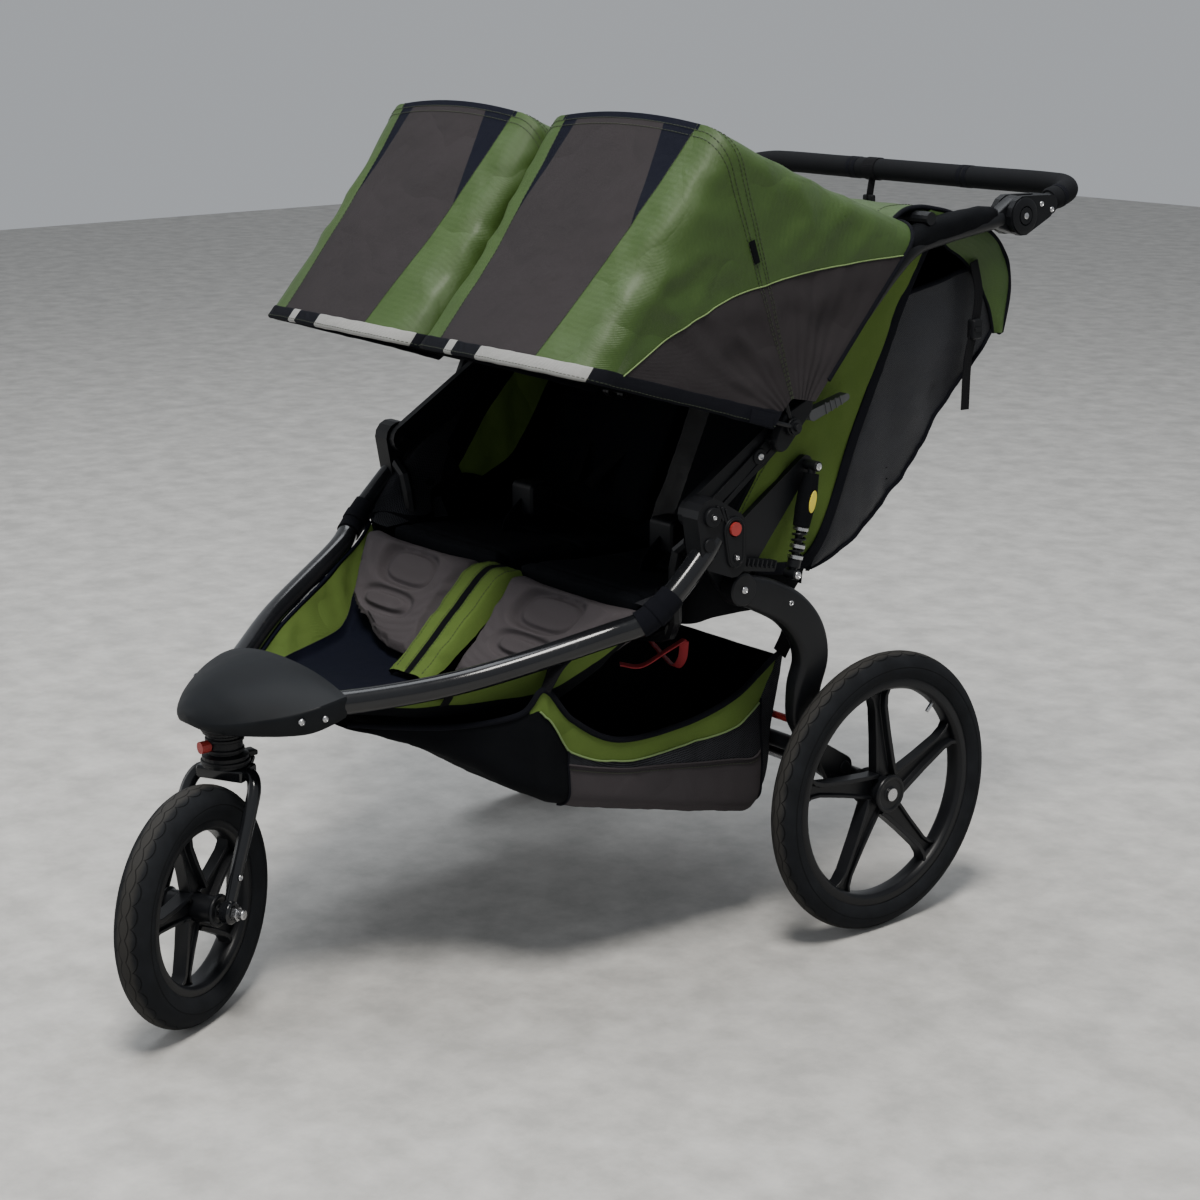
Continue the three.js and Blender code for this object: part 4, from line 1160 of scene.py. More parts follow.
def canopies():
    for side, sign in SIDES:
        seed = 20.0 if sign > 0 else 50.0
        halves = (
            ("rear", 4.0, "upper_frame", f"{side}_mid_bow", REAR_LINE, RIDGE_LINE, (-1, -2)),
            ("front", 6.0, f"{side}_mid_bow", f"{side}_front_bow", RIDGE_LINE, VISOR_LINE, (0,)),
        )
        for part, sag, body, next_body, line_a, line_b, ridge in halves:
            grid = canopy_grid(sign, part, CANOPY_ROWS, sag, seed)
            whole = surface(grid, canopy_marks(CANOPY_ROWS, ridge), 1.6, 1, LINING_MARK)
            out = outward(grid)
            cols = grid.shape[1]
            for k in (GRAY_COLS, cols - 1 - GRAY_COLS):
                whole = whole + tube(grid[:, k] + out[:, k] * 0.5, 0.9, 8, 40).marked(PIPING_MARK)
            for k in (GREEN_COLS + TOP_GREEN, cols - 1 - GREEN_COLS - TOP_GREEN):
                whole = whole + dashes(grid[:, k] + out[:, k] * 0.5, 6.5, 4, 0.5, THREAD_MARK)
            for k in (1, 2) if part == "front" else (-2, -3):
                whole = whole + dashes(grid[k] + out[k] * 0.5, 6.5, 4, 0.55, THREAD_MARK)
            if part == "front" and sign > 0:
                whole = whole + seam_tag(grid, out).marked(LINING_MARK)
            name = f"{side}_canopy_{part}"
            made = piece(
                f"{name}_fabric", whole.flip(sign), CANOPY_FINISH, None, f"{name}_panel",
                sharp=60
            )
            ends = [canopy_point(line, 0.9) for line in (line_a, line_b)]
            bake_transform(made)
        for bow in ("mid", "front"):
            dress(f"{side}_canopy_{bow}_bow", SATIN, 0)
        visor_hem(side, sign, grid)
        rear_hem(side, sign, canopy_grid(sign, "rear", 3, 0.0, seed)[0])


def canopy_point(line, share):
    angle = math.radians(line[0])
    return np.array(
        (
            0.0, CANOPY_PIVOT[0] + share * line[1] * math.cos(angle),
            CANOPY_PIVOT[1] + share * line[1] * math.sin(angle)
        )
    )


def seam_tag(grid, out):
    """A small blank tag sewn into the ridge seam."""
    at = grid[1, GRAY_COLS + 2] + out[1, GRAY_COLS + 2] * 1.5
    way = unit(grid[1, GRAY_COLS + 4] - grid[1, GRAY_COLS + 2])
    return sweep([at, at + way * 14, at + way * 30], oblong(4.5, 0.8, 0.5, 2), out[1, GRAY_COLS + 2])


def visor_hem(side, sign, grid):
    """The visor's bound edge: black, with gray reflective lengths on its top."""
    edge, inside = grid[-1], grid[-3]
    way = unit(edge - inside)
    out = outward(grid)[-1]
    last = len(edge) - 1
    count = 4 * last + 1
    places = np.linspace(0, last, count), np.arange(last + 1)
    edge, way, out = (
        np.column_stack([np.interp(*places, a[:, k]) for k in range(3)]) for a in (edge, way, out)
    )
    wide = np.interp(np.linspace(0, 1, count), [0, 0.16, 0.3, 0.7, 0.84, 1], [15, 13, 10, 10, 13, 15])
    section = oblong(1.0, 0.36, 0.3, 3)
    rows = [
        edge[i] - out[i] * 2 - way[i] * 4 + wide[i] * (section[:, :1] * way[i]) + 10 * section[:, 1:] * out[i]
        for i in range(count)
    ]
    grid = np.array(rows)
    grid += 0.7 * ripple(grid, 0.05)[..., None] * (0, 0.4, 1)
    share = (edge[:, 0] - CANOPY_X[1]) / (CANOPY_X[0] - CANOPY_X[1])
    share = share if sign > 0 else 1 - share
    gray = ((share > 0.46) & (share < 0.975)) | ((share > 0.26) & (share < 0.31))
    shape = loop_grid(grid, [[int(gray[i])] * len(section) for i in range(count - 1)])
    shape = shape + dashes(grid[:, 3] + out * 0.3, 6, 3.6, 0.45, 2)
    tab = sweep([edge[2] + out[2] * 3, edge[10] + out[10] * 3], oblong(9, 1.2, 0.8, 2), out[2])
    made = piece(
        f"{side}_visor_hem", (shape + tab).flip(sign), [BINDING, REFLECTIVE, THREAD], f"{side}_front_bow",
        sharp=70
    )


def rear_hem(side, sign, edge):
    line = smooth_line(edge[2:-2], 120)
    piece(
        f"{side}_canopy_rear_binding", tube(line, 3.2, 10, smooth=False).flip(sign), BINDING, "upper_frame",
    )


# ---- Seats ----
def seat_pads():
    cushion = plate([(-62, 477), (200, 467), (202, 496), (60, 503), (-62, 511)], 20, 284, 7)
    shape = puffed(cushion, 5)
    calf = calf_pad()
    back = plate([(200, 514), (214, 511), (424, 948), (402, 951)], 26, 300, 5)
    back = puffed(back, 6, 6.0)
    pads = (
        ("seat_pad", seat_channels(shape), SEAT_BLACK, "frame", "black_fabric", "seat_cushion", 0.7),
        ("calf_cushion", calf, PAD_CLOTH, "frame", "gray_fabric", "calf_pad", 0.75),
        ("back_cushion", back, SEAT_BLACK, None, "black_fabric", "seatback_pad", 0.7),
    )
    for side, sign in SIDES:
        for name, pad, finish, body, slot, node, softness in pads:
            body = body or f"{side}_seatback"
            made = piece(f"{side}_{name}", pad.flip(sign), finish, body, f"{side}_{node}", sharp=80)
        apron = np.array(
            [
                [(x, y + 1.5 * math.sin(x * 0.05), z) for x in np.linspace(4, 300, 40)]
                for y, z in ((213, 524), (212, 514), (210, 504), (209, 494))
            ]
        )
        made = piece(
            f"{side}_back_apron", surface(apron, side=-1).flip(sign), BLACK_CLOTH, f"{side}_seatback",
            sharp=60
        )


def seat_channels(shape):
    """Two sewn channels run from side to side across the seat."""
    points = shape.points.copy()
    top = points[:, 2] > np.interp(points[:, 1], (-58, 200), (497, 484))
    fall = sum(np.exp(-(((points[:, 1] - y) / 5) ** 2)) for y in (-36, 95)) * top
    points[:, 2] -= 4 * fall
    return Shape(points, shape.faces)


CALF_TOP, CALF_FOOT = np.array((-70.0, 507.0)), np.array((-184.0, 389.0))


def calf_pad():
    """A padded slope with a pressed window and ring, as soft as thick foam."""
    top_line = [(-84 - 108 * t, 503 - 119 * t) for t in np.linspace(0, 1, 15)]
    under = [(-176 + 112 * t, 377 + 99 * t) for t in np.linspace(0, 1, 15)]
    base = plate([(-64, 503)] + top_line + under, 45, 308, 6)
    down = CALF_FOOT - CALF_TOP
    size = np.linalg.norm(down)
    down = down / size
    fall = np.maximum((base.points[:, 1:] - CALF_TOP) @ down * 0.72, 0)
    narrow = 0.33 * fall + 0.0046 * fall**2 + 0.05 * np.maximum(fall - 84, 0) ** 2
    base.points[:, 0] -= np.where(base.points[:, 0] > 100, narrow, 0)
    shape = puffed(base, 6.5, 3.4, 6.0)
    points = shape.points.copy()
    rel = points[:, 1:] - CALF_TOP
    s = rel @ down
    out = np.array((-down[1], down[0]))
    out = out * (1 if out[1] > 0 else -1)
    lift = rel @ out
    top = np.clip((lift + 9) / 6, 0, 1)
    x = points[:, 0]

    def inside(cx, cs, hx, hs, soft, slant=0.0):
        u = np.abs(x - cx - slant * (s - cs)) / hx
        v = np.abs(s - cs) / hs
        return 1 / (1 + np.exp(((u**3 + v**3) ** (1 / 3) - 1) * soft))

    window = inside(160, 48, 60, 30, 22, -0.2)
    crease = inside(160, 48, 64, 34, 26, -0.2) - 0.97 * inside(160, 48, 52, 23, 22, -0.2)
    ring = inside(158, 108, 60, 20, 20) - 0.95 * inside(158, 108, 48, 11, 18)
    bulge = inside(165, 74, 124, 86, 4)
    move = 7 * bulge - 10 * window - 6 * crease - 7 * ring
    points[:, 1] += out[0] * move * top
    points[:, 2] += out[1] * move * top
    return Shape(points, shape.faces)


def divider():
    """The padded ridge between the footwells: green, with a black band down its middle."""
    line = smooth_line(
        [(0, -64, 503), (0, -92, 503), (0, -150, 454), (0, -205, 403), (0, -230, 381)], DIVIDER_ROWS - 1
    )
    xs = np.linspace(-50, 50, 43)
    rows = []
    for i, (_, y, z) in enumerate(line):
        t = i / (DIVIDER_ROWS - 1)
        lift = 9 * np.sqrt(
            np.clip(1 - (xs / 52) ** 4, 0, 1)
        ) - 6 - 24 * (1 - t**3) * np.clip((np.abs(xs) - 38) / 12, 0, 1) ** 1.3
        rows.append(np.column_stack([xs * (1 - 0.12 * t), np.full(len(xs), y), z + lift]))
    grid = np.array(rows)
    wrinkle = 2.6 * ripple(grid * (0.6, 1, 1), 0.045, 3) + 1.2 * ripple(grid, 0.12, 7)
    grid[..., 2] += wrinkle * np.clip(np.abs(xs) / 20, 0.15, 1)
    band = [1 if abs(x + xs[k + 1]) / 2 < 8 else 0 for k, x in enumerate(xs[:-1])]
    shape = surface(grid, [band] * (DIVIDER_ROWS - 1), 7, -1, 2)
    for x in (-8.5, 8.5, -34, 34):
        k = int(np.argmin(np.abs(xs - x)))
        shape = shape + dashes(grid[:, k] + (0, 0, 0.6), 5.5, 3.5, 0.5, 3)
    made = piece(
        "footwell_divider_cover", shape, [SEAT_CLOTH, BLACK_CLOTH, BLACK_CLOTH, THREAD], "frame",
        "footwell_divider", sharp=60
    )


# Places in y, with the half-width and height of the top edge and of the floor's edge.
FOOTWELL = [
    (-66, 326, 510, 306, 490), (-84, 316, 496, 300, 476), (-110, 304, 482, 276, 444), (-150, 283, 469, 244, 400),
    (-190, 260, 455, 214, 376), (-300, 199, 422, 158, 376), (-390, 124, 402, 98, 385), (-406, 112, 400, 90, 388),
]


def footwell():
    rows = []
    for y, top_x, top_z, floor_x, floor_z in interpolated(FOOTWELL, FOOTWELL_ROWS):
        side = [
            (top_x + (floor_x + 10 - top_x) * t, top_z + (floor_z + 10 - top_z) * t)
            for t in np.linspace(0, 1, 17)
        ]
        corner = [(floor_x + 10 - 10 * t, floor_z + 10 * (1 - t) ** 2) for t in np.linspace(0, 1, 5)[1:]]
        floor = [
            (floor_x * (1 - t), floor_z - 2 * math.sin(math.pi * t / 2)) for t in np.linspace(0, 1, 17)[1:]
        ]
        rows.append(mirrored([(x, y, z) for x, z in side + corner + floor]))
    grid = np.array(rows)
    cols = grid.shape[1]
    out = grid_normals(grid)
    steep = np.abs(out[..., 0])
    fold = np.sin(grid[..., 1] * 0.09 + 4 * ripple(grid, 0.012, 2))
    edge = from_edge(cols) / 6.0
    move = (
        2.4 * ripple(grid, 0.02, 4) + 1.6 * fold * steep + 0.8 * ripple(grid, 0.07, 8)
    ) * np.clip(edge, 0, 1)[None]
    grid = grid + out * move[..., None]
    side_cols = 15
    marks = [
        [1] + [0] * (side_cols - 1) + [2] * (cols - 1 - 2 * side_cols) + [0] * (side_cols - 1) + [1]
    ] * (FOOTWELL_ROWS - 1)
    outside = [[0] * 12 + [1] * (cols - 25) + [0] * 12] * (FOOTWELL_ROWS - 1)
    shape = surface(grid, marks, 1.8, 1, outside)
    for k in (side_cols, cols - 1 - side_cols):
        shape = shape + dashes(grid[:, k] - out[:, k] * 0.4, 6, 4, 0.5, 3)
    for k in (0, cols - 1):
        shape = shape + tube(grid[:, k], 2.6, 10, 60).marked(2)
    made = piece(
        "footwell_cloth", shape, [SEAT_CLOTH, BLACK_CLOTH, NAVY_CLOTH, THREAD], "frame",
        "footwell", sharp=60
    )
    for side, sign in SIDES:
        straps = Shape()
        for y in (-190, -300, -372):
            k = nearest_row(grid, y)
            top = grid[k, 0]
            straps = straps + strap(
                [top + (6, 0, 2), grid[k, 4] + (9, 0, -1), grid[k, 10] + (9, 0, -3)], 14, 2, (1, 0, 0.3), 10
            )
        piece(f"{side}_footwell_straps", straps.flip(sign), WEBBING, "frame")


# Places in y, with the width as a share, the height of the sides and the lift of the middle.
SLING = [
    (-64, 1.06, 48, 14), (-48, 1.03, 58, 6), (-26, 0.9, 60, 1), (10, 0.9, 62, 0),
    (34, 1, 88, 0), (90, 1, 104, 0), (160, 1, 84, 0), (196, 1, 74, 2),
    (208, 1, 62, 12), (213, 1, 46, 25), (215, 1, 42, 35),
]


def seat_sling():
    """The black cloth under both seats: its sides rise to the tubes and its back edge to the seat backs."""
    half = [(306, 1.0), (302, 0.72), (296, 0.4), (286, 0.13), (250, 0.02), (120, 0), (0, 0)]
    section = smooth_line(mirrored([(x, 0, share) for x, share in half]), 96)
    rows = [
        [(x * wide, y, 461 + lift + share * rise) for x, _, share in section] for y, wide, rise, lift in SLING
    ]
    grid = interpolated(rows, 56)
    grid[..., 2] += 2.2 * ripple(grid, 0.02, 71) + 1.0 * ripple(grid, 0.06, 73)
    shape = surface(grid, thick=1.8, side=-1)
    for row in (0, -1):
        shape = shape + tube(grid[row], 3.2, 10, 140).marked(1)
    made = piece("seat_sling", shape, [BLACK_CLOTH, BINDING], "frame", sharp=60)


# ---- Basket ----
# Places in y, with the half-width and the heights of the top edge and of the floor.
BASKET = [
    (-388, 96, 367, 361), (-300, 186, 368, 328), (-236, 256, 388, 290), (-208, 274, 420, 272),
    (-165, 276, 372, 254), (-90, 277, 330, 233), (20, 277, 328, 206), (110, 276, 346, 183),
    (160, 275, 372, 178), (186, 273, 387, 262), (206, 270, 394, 386),
]


def basket():
    """A sling of black cloth, netting and a gray pocket, with a green band under its bound top edge."""
    nose, net, band, pocket, floor = 0, 1, 2, 3, 4
    rows, marks = [], []
    table = interpolated(BASKET, 101)
    for y, half, top, low in table:
        corner = max(2.0, min(26.0, (top - low) / 2))
        pocket_z = np.clip(
            low + np.interp(y, (-208, -90, 20, 160), (58, 60, 70, 84)), low + corner + 1, top - 6
        )
        band_z = np.clip(
            top - np.interp(y, (-228, -208, -170, -100, 40, 120), (5, 34, 44, 27, 27, 42)), pocket_z + 2,
            top - 3
        )
        if y > 160:
            band_z = top - 3 - (top - 3 - band_z) * max(0.0, (200 - y) / 40)
        levels = [
            *np.linspace(top, band_z, 7), *np.linspace(band_z, pocket_z, 7)[1:],
            *np.linspace(pocket_z, low + corner, 6)[1:]
        ]
        side = [(half, z) for z in levels]
        bend = [
            (half - corner * (1 - math.cos(a)), low + corner * (1 - math.sin(a)))
            for a in np.linspace(0, math.pi / 2, 7)[1:]
        ]
        base = [((half - corner) * (1 - t), low) for t in np.linspace(0, 1, 13)[1:]]
        rows.append(mirrored([(x, y, z) for x, z in side + bend + base]))
    grid = np.array(rows)
    count, cols = grid.shape[:2]
    for i in range(count - 1):
        y = grid[i, 0, 1]
        if y < -228:
            line = [nose] * ((cols - 1) // 2)
        elif y < -172:
            line = [band] * 6 + [nose] * 17 + [floor] * 12
        else:
            line = [band] * 6 + [net] * 6 + [pocket] * 11 + [floor] * 12
        if y > 166:
            line = [band] * 6 + [net] * 29
        line = line[: (cols - 1) // 2]
        marks.append(line + line[::-1])
    out = outward(grid, (0, -50, 330))
    middle = np.abs(np.linspace(-1, 1, cols))
    top_edge = np.clip(from_edge(cols) / 5.0, 0.25, 1)
    slack = 3.4 * ripple(grid, 0.011, 31) + 2.0 * ripple(
        grid * (1, 1, 0.5), 0.035, 37
    ) + 0.8 * ripple(grid, 0.09, 41)
    grid = grid + out * (slack * top_edge)[..., None]
    grid[..., 2] -= 5 * (1 - middle) ** 0.5 * np.interp(grid[..., 1], (-300, -100, 120, 170), (0, 1, 1, 0))
    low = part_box("storage_basket")[0][2] / MM - 4
    grid[..., 2] = np.maximum(grid[..., 2], low)
    shape = surface(grid, marks, 2.0, 1, 5)
    for k in (0, cols - 1):
        shape = shape + tube(grid[:, k], 4.0, 10, 140).marked(6)
    front, first, rear = (nearest_row(grid, y) for y in (-214, -172, 164))
    for k in (6, cols - 7):
        shape = shape + tube(grid[front:rear, k] + out[front:rear, k] * 1.4, 1.3, 8, 80).marked(7)
    for k in (12, cols - 13):
        shape = shape + tube(grid[first:rear, k] + out[first:rear, k] * 1.4, 1.6, 8, 80).marked(3)
        shape = shape + dashes(grid[first:rear, k] + out[first:rear, k] * 1.2 - (0, 0, 6), 6, 4, 0.5, 8)
    for row in (first, rear):
        for k in (slice(6, 24), slice(cols - 24, cols - 6)):
            shape = shape + tube(grid[row, k] + out[row, k] * 1.2, 1.5, 8, 30).marked(6)
    finishes = [
        BLACK_CLOTH, MESH_NET, SEAT_CLOTH, GRAY_CLOTH, BLACK_CLOTH, BLACK_CLOTH, BINDING, PIPING, THREAD
    ]
    made = piece("basket_cloth", shape, finishes, None, "storage_basket", sharp=60)
    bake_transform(made)


def basket_straps():
    """Webbing that hangs the basket from the arms behind and from the tubes in front."""
    for side, sign in SIDES:
        rear = strap(
            [(272, 200, 392), (290, 196, 420), (312, 178, 452), (322, 160, 470)], 22, 2.4, (0, 1, 0.4), 24
        )
        piece(f"{side}_basket_rear_strap", rear.flip(sign), WEBBING, "rear_chassis")
        front = strap([(276, -208, 420), (284, -190, 452), (292, -172, 470)], 16, 2.2, (0, 1, 0.4), 16)
        piece(f"{side}_basket_front_strap", front.flip(sign), WEBBING, "frame")
        # A red fold strap hangs in two slack lengths under each seat.
        red = strap(
            [(296, 6, 450), (276, 20, 420), (238, 40, 396), (196, 56, 398), (150, 60, 420)], 12, 2.2,
            (0, 0.3, 1), 40
        )
        loop = strap([(150, 60, 420), (140, 62, 432), (132, 60, 444)], 14, 2.6, (0, 0.3, 1), 12).marked(1)
        tail = strap(
            [(296, 6, 452), (290, -20, 440), (270, -48, 420), (256, -70, 424)], 12, 2.2, (0, 0.3, 1), 24
        )
        piece(
            f"{side}_fold_strap", together(red, loop, tail).flip(sign), [RED_WEBBING, WEBBING], "frame",
        )


# ---- Seat sides, back pockets and the storage cover ----
def quad_grid(lines, count, smooth=40):
    """A grid between lines of points, evenly spaced along each."""
    return interpolated([smooth_line(line, smooth) for line in lines], count)


def seat_sides():
    """The green cloth between each upper tube and seat back, and the black wing in front of it."""
    near = [(316, 70, 612), (319, 124, 686), (322, 250, 805), (322, 372, 918), (318, 424, 950)]
    middle = [(318, 96, 560), (316, 165, 640), (318, 290, 770), (318, 392, 900), (316, 430, 948)]
    far = [(311, 112, 530), (309, 214, 526), (311, 300, 700), (310, 384, 872), (308, 436, 952)]
    for side, sign in SIDES:
        grid = quad_grid([near, middle, far], SIDE_ROWS, SIDE_COLS - 1)
        seed = 60 if sign > 0 else 80
        run = np.sin(np.linspace(0, math.pi, SIDE_ROWS))[:, None]
        pull = ripple(grid * (1, 1.4, 0.6), 0.018, seed) * 5 + ripple(grid, 0.05, seed + 4) * 1.8
        grid[..., 0] += run * pull
        lining = [[3 if row < 9 or row > 17 else 0] * (SIDE_COLS - 1) for row in range(SIDE_ROWS - 1)]
        shape = surface(grid, side=-1, lining=lining)
        shape = shape + tube(grid[0], 3, 10, 60).marked(1) + dashes(grid[3] + (1.5, 0, 0), 6, 4, 0.5, 2)
        shape = shape + strap(grid[-2] + (2.5, 0, 0), 17, 2.4, (1, 0, 0), 60).marked(1)
        made = piece(
            f"{side}_seat_side", shape.flip(sign), [SEAT_CLOTH, BINDING, THREAD, BLACK_CLOTH], None,
            f"{side}_seat_side_panel", sharp=60
        )
        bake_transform(made)
        wing = quad_grid(
            [
                [(276, 40, 512), (276, -20, 514), (280, -66, 510)],
                [(312, 52, 545), (312, -4, 548), (322, -66, 518)],
                [(316, 74, 606), (317, 20, 608), (333, -30, 562)],
                [(317, 126, 684), (316, 70, 648), (316, 8, 622)],
            ],
            30, 24,
        )
        wing[..., 0] += 2 * ripple(wing, 0.03, seed)
        net = surface(wing, lining=1) + tube(wing[-1], 2.6, 10, 30).marked(2)
        made = piece(
            f"{side}_seat_wing", net.flip(sign), [MESH_NET, BLACK_CLOTH, BINDING], None, sharp=60
        )
        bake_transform(made)


POCKET = [
    (224, 514), (262, 524), (300, 545), (352, 582), (400, 622), (460, 690), (515, 752), (556, 792), (574, 820),
    (573, 860), (560, 900), (534, 928), (500, 948), (464, 955), (436, 956)
]


def back_pockets():
    """Stretchy netting bags hung behind each seat back, bound in black."""
    outline = smooth_line([(0, y, z) for y, z in POCKET], POCKET_COLS - 1)[:, 1:]
    front = np.column_stack(
        [np.interp(np.linspace(0, 1, POCKET_COLS), (0, 1), ends) for ends in ((214, 430), (512, 955))]
    )
    for side, sign in SIDES:
        seed = 90 if sign > 0 else 110
        rows = []
        for share in np.linspace(0, 1, 9):
            x = 304 + 4 * math.sin(math.pi * share)
            flat = front + (outline - front) * share
            rows.append(np.column_stack([np.full(POCKET_COLS, x), flat]))
        for t in np.linspace(0, 1, 34)[1:]:
            x = 304 - (304 - 22) * t
            puff = 5 * math.sin(math.pi * t) - 9 * (1 - min(1, t * 8)) * (1 - min(1, (1 - t) * 8))
            soft = unit(outline - front + 1e-6)
            rows.append(np.column_stack([np.full(POCKET_COLS, x), outline + soft * puff]))
        for share in np.linspace(1, 0, 9)[1:]:
            flat = front + (outline - front) * share
            rows.append(np.column_stack([np.full(POCKET_COLS, 22.0), flat]))
        grid = np.array(rows)
        out = outward(grid)
        sway = 6.5 * ripple(grid * (1, 1.3, 0.4), 0.014, seed) + 3.6 * ripple(
            grid * (1, 1.4, 0.5), 0.032, seed + 3
        ) + 1.1 * ripple(grid, 0.09, seed + 6)
        hold = np.minimum(1, from_edge(POCKET_COLS) / 5.0)[None]
        grid = grid + out * (sway * hold - 1.5)[..., None]
        keep = np.array([z < 905 or y < 470 for y, z in outline])
        last = int(np.argmin(keep)) if not keep.all() else POCKET_COLS - 1
        grid = grid[:, :last]
        out = out[:, :last]
        shape = surface(grid, None, 1.6, -1 if (grid_normals(grid) * out).sum() > 0 else 1, 1)
        for row in (8, -9):
            shape = shape + tube(grid[row] + out[row], 2.8, 10, 70).marked(2)
        shape = shape + tube(grid[:, -1], 3.4, 10, 120).marked(2)
        shape = shape + strap(grid[0] + out[0] * 2 + (0, 0, 2), 16, 2, out[0, 30], 60).marked(2)
        made = piece(
            f"{side}_pocket_net", shape.flip(sign), [POCKET_NET, BLACK_CLOTH, BINDING], f"{side}_seatback",
            f"{side}_back_pocket", sharp=70
        )


def storage_cover():
    """The green cover that lies over the cross brace and hangs down behind each seat back."""
    profile = [
        (344, 966), (372, 983), (398, 986), (430, 984), (478, 972), (524, 956), (560, 936), (580, 905),
        (586, 868), (584, 832), (576, 806)
    ]
    line = smooth_line([(0, y, z) for y, z in profile], COVER_ROWS - 1)
    for side, sign in SIDES:
        seed = 130 if sign > 0 else 150
        xs = np.linspace(4, 316, COVER_COLS)
        grid = np.array([[(x, y, z) for x in xs] for _, y, z in line])
        run = np.linspace(0, 1, COVER_ROWS)[:, None]
        ends = 1 - np.abs(np.linspace(-1, 1, COVER_COLS)) ** 6
        grid[..., 2] -= (1 - ends) * 6 * run
        sag = 3 * ripple(grid, 0.012, seed) + 1.6 * ripple(grid, 0.04, seed + 3)
        out = grid_normals(grid)
        out *= np.sign(out[..., 2].mean())
        grid = grid + out * (sag * np.clip(run * 3, 0, 1))[..., None]
        kinds = [[int(i >= 56)] * (COVER_COLS - 1) for i in range(COVER_ROWS - 1)]
        side_way = -1 if (grid_normals(grid) * out).sum() > 0 else 1
        shape = surface(grid, kinds, 2.2, side_way)
        border = np.vstack([grid[:, -1], grid[-1, -2::-1]])
        shape = shape + tube(border, 3.6, 10, 150).marked(2)
        top = grid[14:, -1]
        foot = np.array(
            [
                (308, y - 46 * math.sin(math.pi * t) - 6, z - 30 * math.sin(math.pi * t) ** 0.6)
                for t, (_, y, z) in zip(np.linspace(0.06, 1, len(top)), top)
            ]
        )
        gusset = np.array(
            [top * (1 - t) + foot * t + (5 * math.sin(math.pi * t), 0, 0) for t in np.linspace(0, 1, 12)]
        )
        gusset[..., 0] += 2 * ripple(gusset, 0.03, seed)
        shape = shape + surface(gusset) + tube(gusset[-1], 2.6, 8, 80).marked(2)
        for k in (5, 34):
            shape = shape + dashes(grid[:, k] + out[:, k] * 0.5, 6, 4, 0.5, 3)
        made = piece(
            f"{side}_storage_cover", shape.flip(sign), [GREEN_CLOTH, BLACK_CLOTH, BINDING, THREAD], None,
            (), sharp=60
        )
        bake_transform(made)
        back_strap(side, sign, seed)


def back_strap(side, sign, seed):
    """The padded wrap on the upper tube, and the buckled strap that hangs from it behind the seat back."""
    wrap = sweep(
        smooth_line([(330, 352, 930), (331, 392, 950), (330, 440, 958), (327, 500, 964), (325, 530, 966)], 30),
        oblong(17, 15, 12, 5), (0, 0, 1),
        sizes=np.interp(np.linspace(0, 1, 31), (0, 0.3, 0.7, 1), (0.9, 1.12, 1.1, 0.95))
    )
    wrap.points += 1.8 * ripple(wrap.points, 0.05, seed)[:, None]
    piece(f"{side}_tube_wrap", wrap.flip(sign), BLACK_CLOTH, "upper_frame")
    web = strap(
        [(318, 512, 905), (322, 520, 860), (322, 514, 815), (320, 505, 770), (322, 500, 700)], 20, 1.8,
        (1, 0.2, 0), 40
    )
    buckle = plate(oblong(9, 14, 3) + (514, 812), 316, 329, 2)
    slot = plate(oblong(7, 3, 1.5) + (514, 812), 329, 331, 0.8)
    piece(
        f"{side}_hanging_strap", together(web, buckle.marked(1), slot.marked(1)).flip(sign), [WEBBING, PLASTIC],
        f"{side}_seatback"
    )


def harness():
    """Shoulder and lap straps with a buckle on each seat."""
    for side, sign in SIDES:
        belts = Shape()
        for x in (105, 205):
            belts = belts + strap(
                [(x, 372, 862), (x, 330, 780), (x, 262, 640), (150 + (x - 155) * 0.35, 190, 560)], 25, 2.6,
                (0, -1, 0.5), 40
            )
            belts = belts + strap(
                [(x, 350, 826), (x, 318, 762), (x, 282, 690)], 44, 10, (0, -1, 0.5), 24
            ).marked(2)
        piece(
            f"{side}_shoulder_straps", belts.flip(sign), [WEBBING, PLASTIC, SEAT_BLACK], f"{side}_seatback",
        )
        crotch = strap([(155, 60, 503), (155, 66, 520), (155, 96, 545)], 28, 2.6, (1, 0, 0), 16)
        buckle = plate(oblong(20, 24, 8) + (104, 552), 130, 180, 4).marked(1)
        laps = [
            strap([(a, 170, 512), (b, 140, 535), (c, 112, 552)], 22, 2.4, (0, 0, 1), 20)
            for a, b, c in ((60, 90, 135), (250, 220, 176))
        ]
        piece(
            f"{side}_harness_buckle", together(crotch, buckle, *laps).flip(sign), [WEBBING, PLASTIC], "frame",
            bevel=1
        )


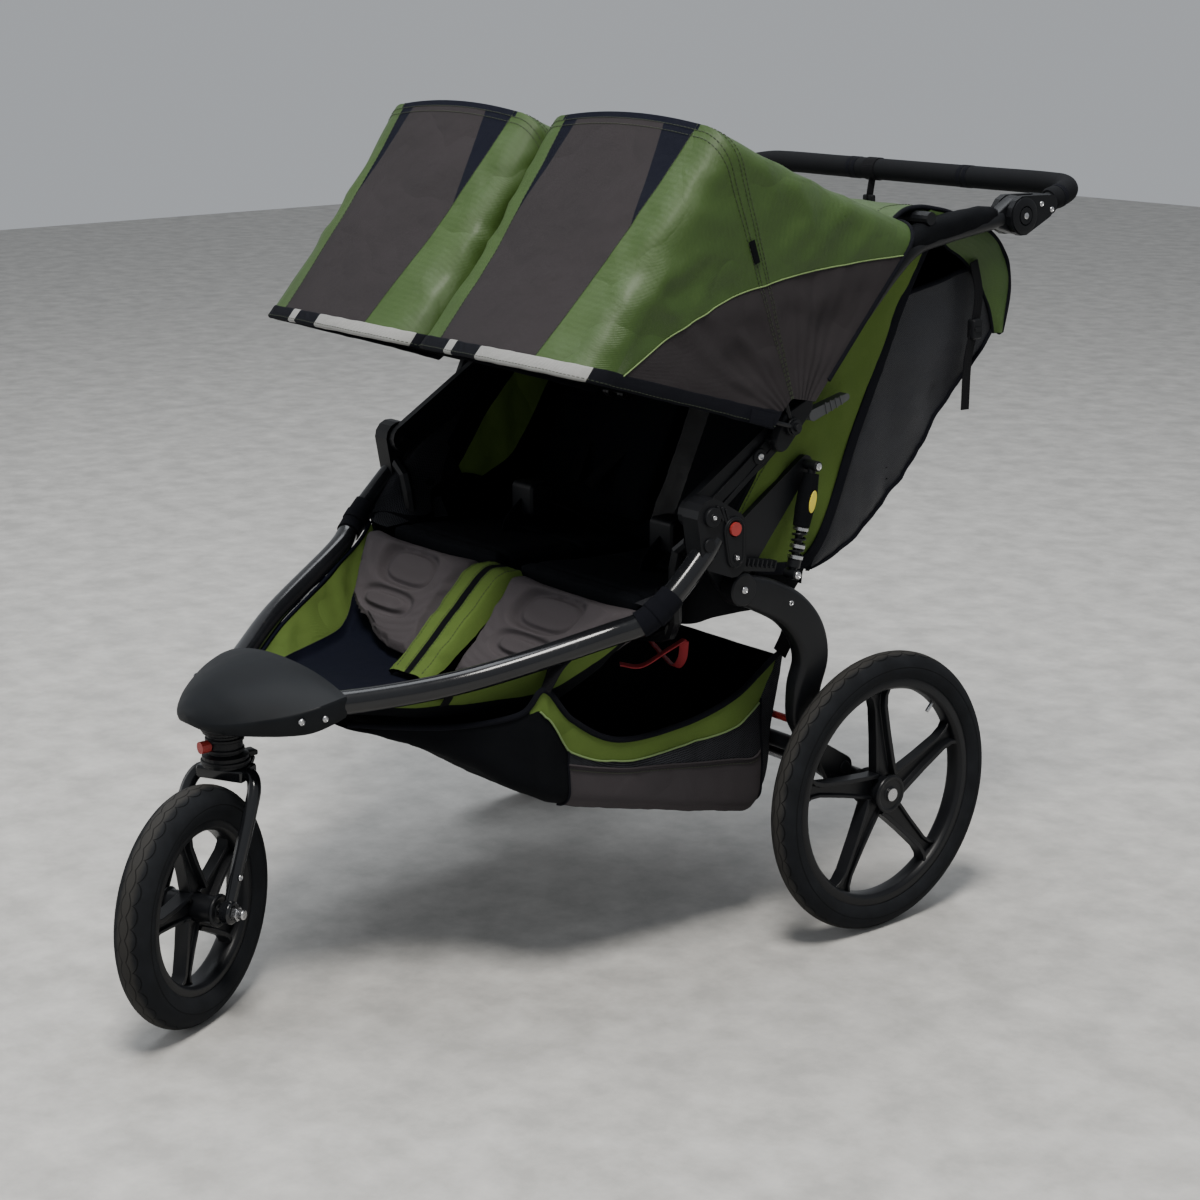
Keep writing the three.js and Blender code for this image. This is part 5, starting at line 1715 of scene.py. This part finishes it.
# ---- Stage, lights and camera ----
def stage():
    floor = piece(
        "studio_floor",
        Shape([(-9000, -9000, 0), (9000, -9000, 0), (9000, 9000, 0), (-9000, 9000, 0)], [(0, 1, 2, 3)]),
        hard("pale studio floor", (0.46, 0.45, 0.43), 0.75, scuff=0.0), None
    )
    world = bpy.data.worlds.new("studio")
    scene.world = world
    world.use_nodes = True
    sky = world.node_tree.nodes["Background"].inputs
    sky["Color"].default_value, sky["Strength"].default_value = (0.86, 0.9, 0.95, 1), 0.46
    for name, place, size, power, colour in (
        ("key", (1.6, -1.4, 4.8), 1.5, 260, (1, 0.97, 0.92)),
        ("sky", (-1.0, 0.6, 4.6), 3.6, 130, (0.92, 0.96, 1)),
        ("fill", (-3.4, -3.0, 2.0), 3.0, 28, (1, 1, 1)),
    ):
        lamp = bpy.data.lights.new(name, "AREA")
        lamp.shape, lamp.size, lamp.energy, lamp.color = "DISK", size, power, colour
        made = bpy.data.objects.new(name, lamp)
        made.location = place
        made.rotation_mode = "QUATERNION"
        made.rotation_quaternion = (Vector(place) - Vector((0, 0, 0.5))).to_track_quat("Z", "Y")
        scene.collection.objects.link(made)


def camera():
    azimuth, elevation, roll = (math.radians(a) for a in (50.93, 14.93, -0.27))
    back = Vector(
        (math.sin(azimuth) * math.cos(elevation), -math.cos(azimuth) * math.cos(elevation), math.sin(elevation))
    )
    right = Vector((math.cos(azimuth), math.sin(azimuth), 0))
    up = back.cross(right)
    tilted = math.cos(roll) * right + math.sin(roll) * up
    up = back.cross(tilted)
    lens = bpy.data.cameras.new("camera")
    lens.lens, lens.sensor_width = 71.17, 36
    made = bpy.data.objects.new("camera", lens)
    made.matrix_world = Matrix.Translation(
        (2.5341, -1.9522, 1.2979)
    ) @ Matrix((tilted, up, back)).transposed().to_4x4()
    scene.collection.objects.link(made)
    scene.camera = made


camera()
fork(wheels())
front_frame()
upper_frame()
handlebar()
rear_chassis()
canopies()
seat_pads()
seat_sling()
divider()
footwell()
basket()
basket_straps()
seat_sides()
back_pockets()
storage_cover()
harness()
stage()

bpy.context.view_layer.update()
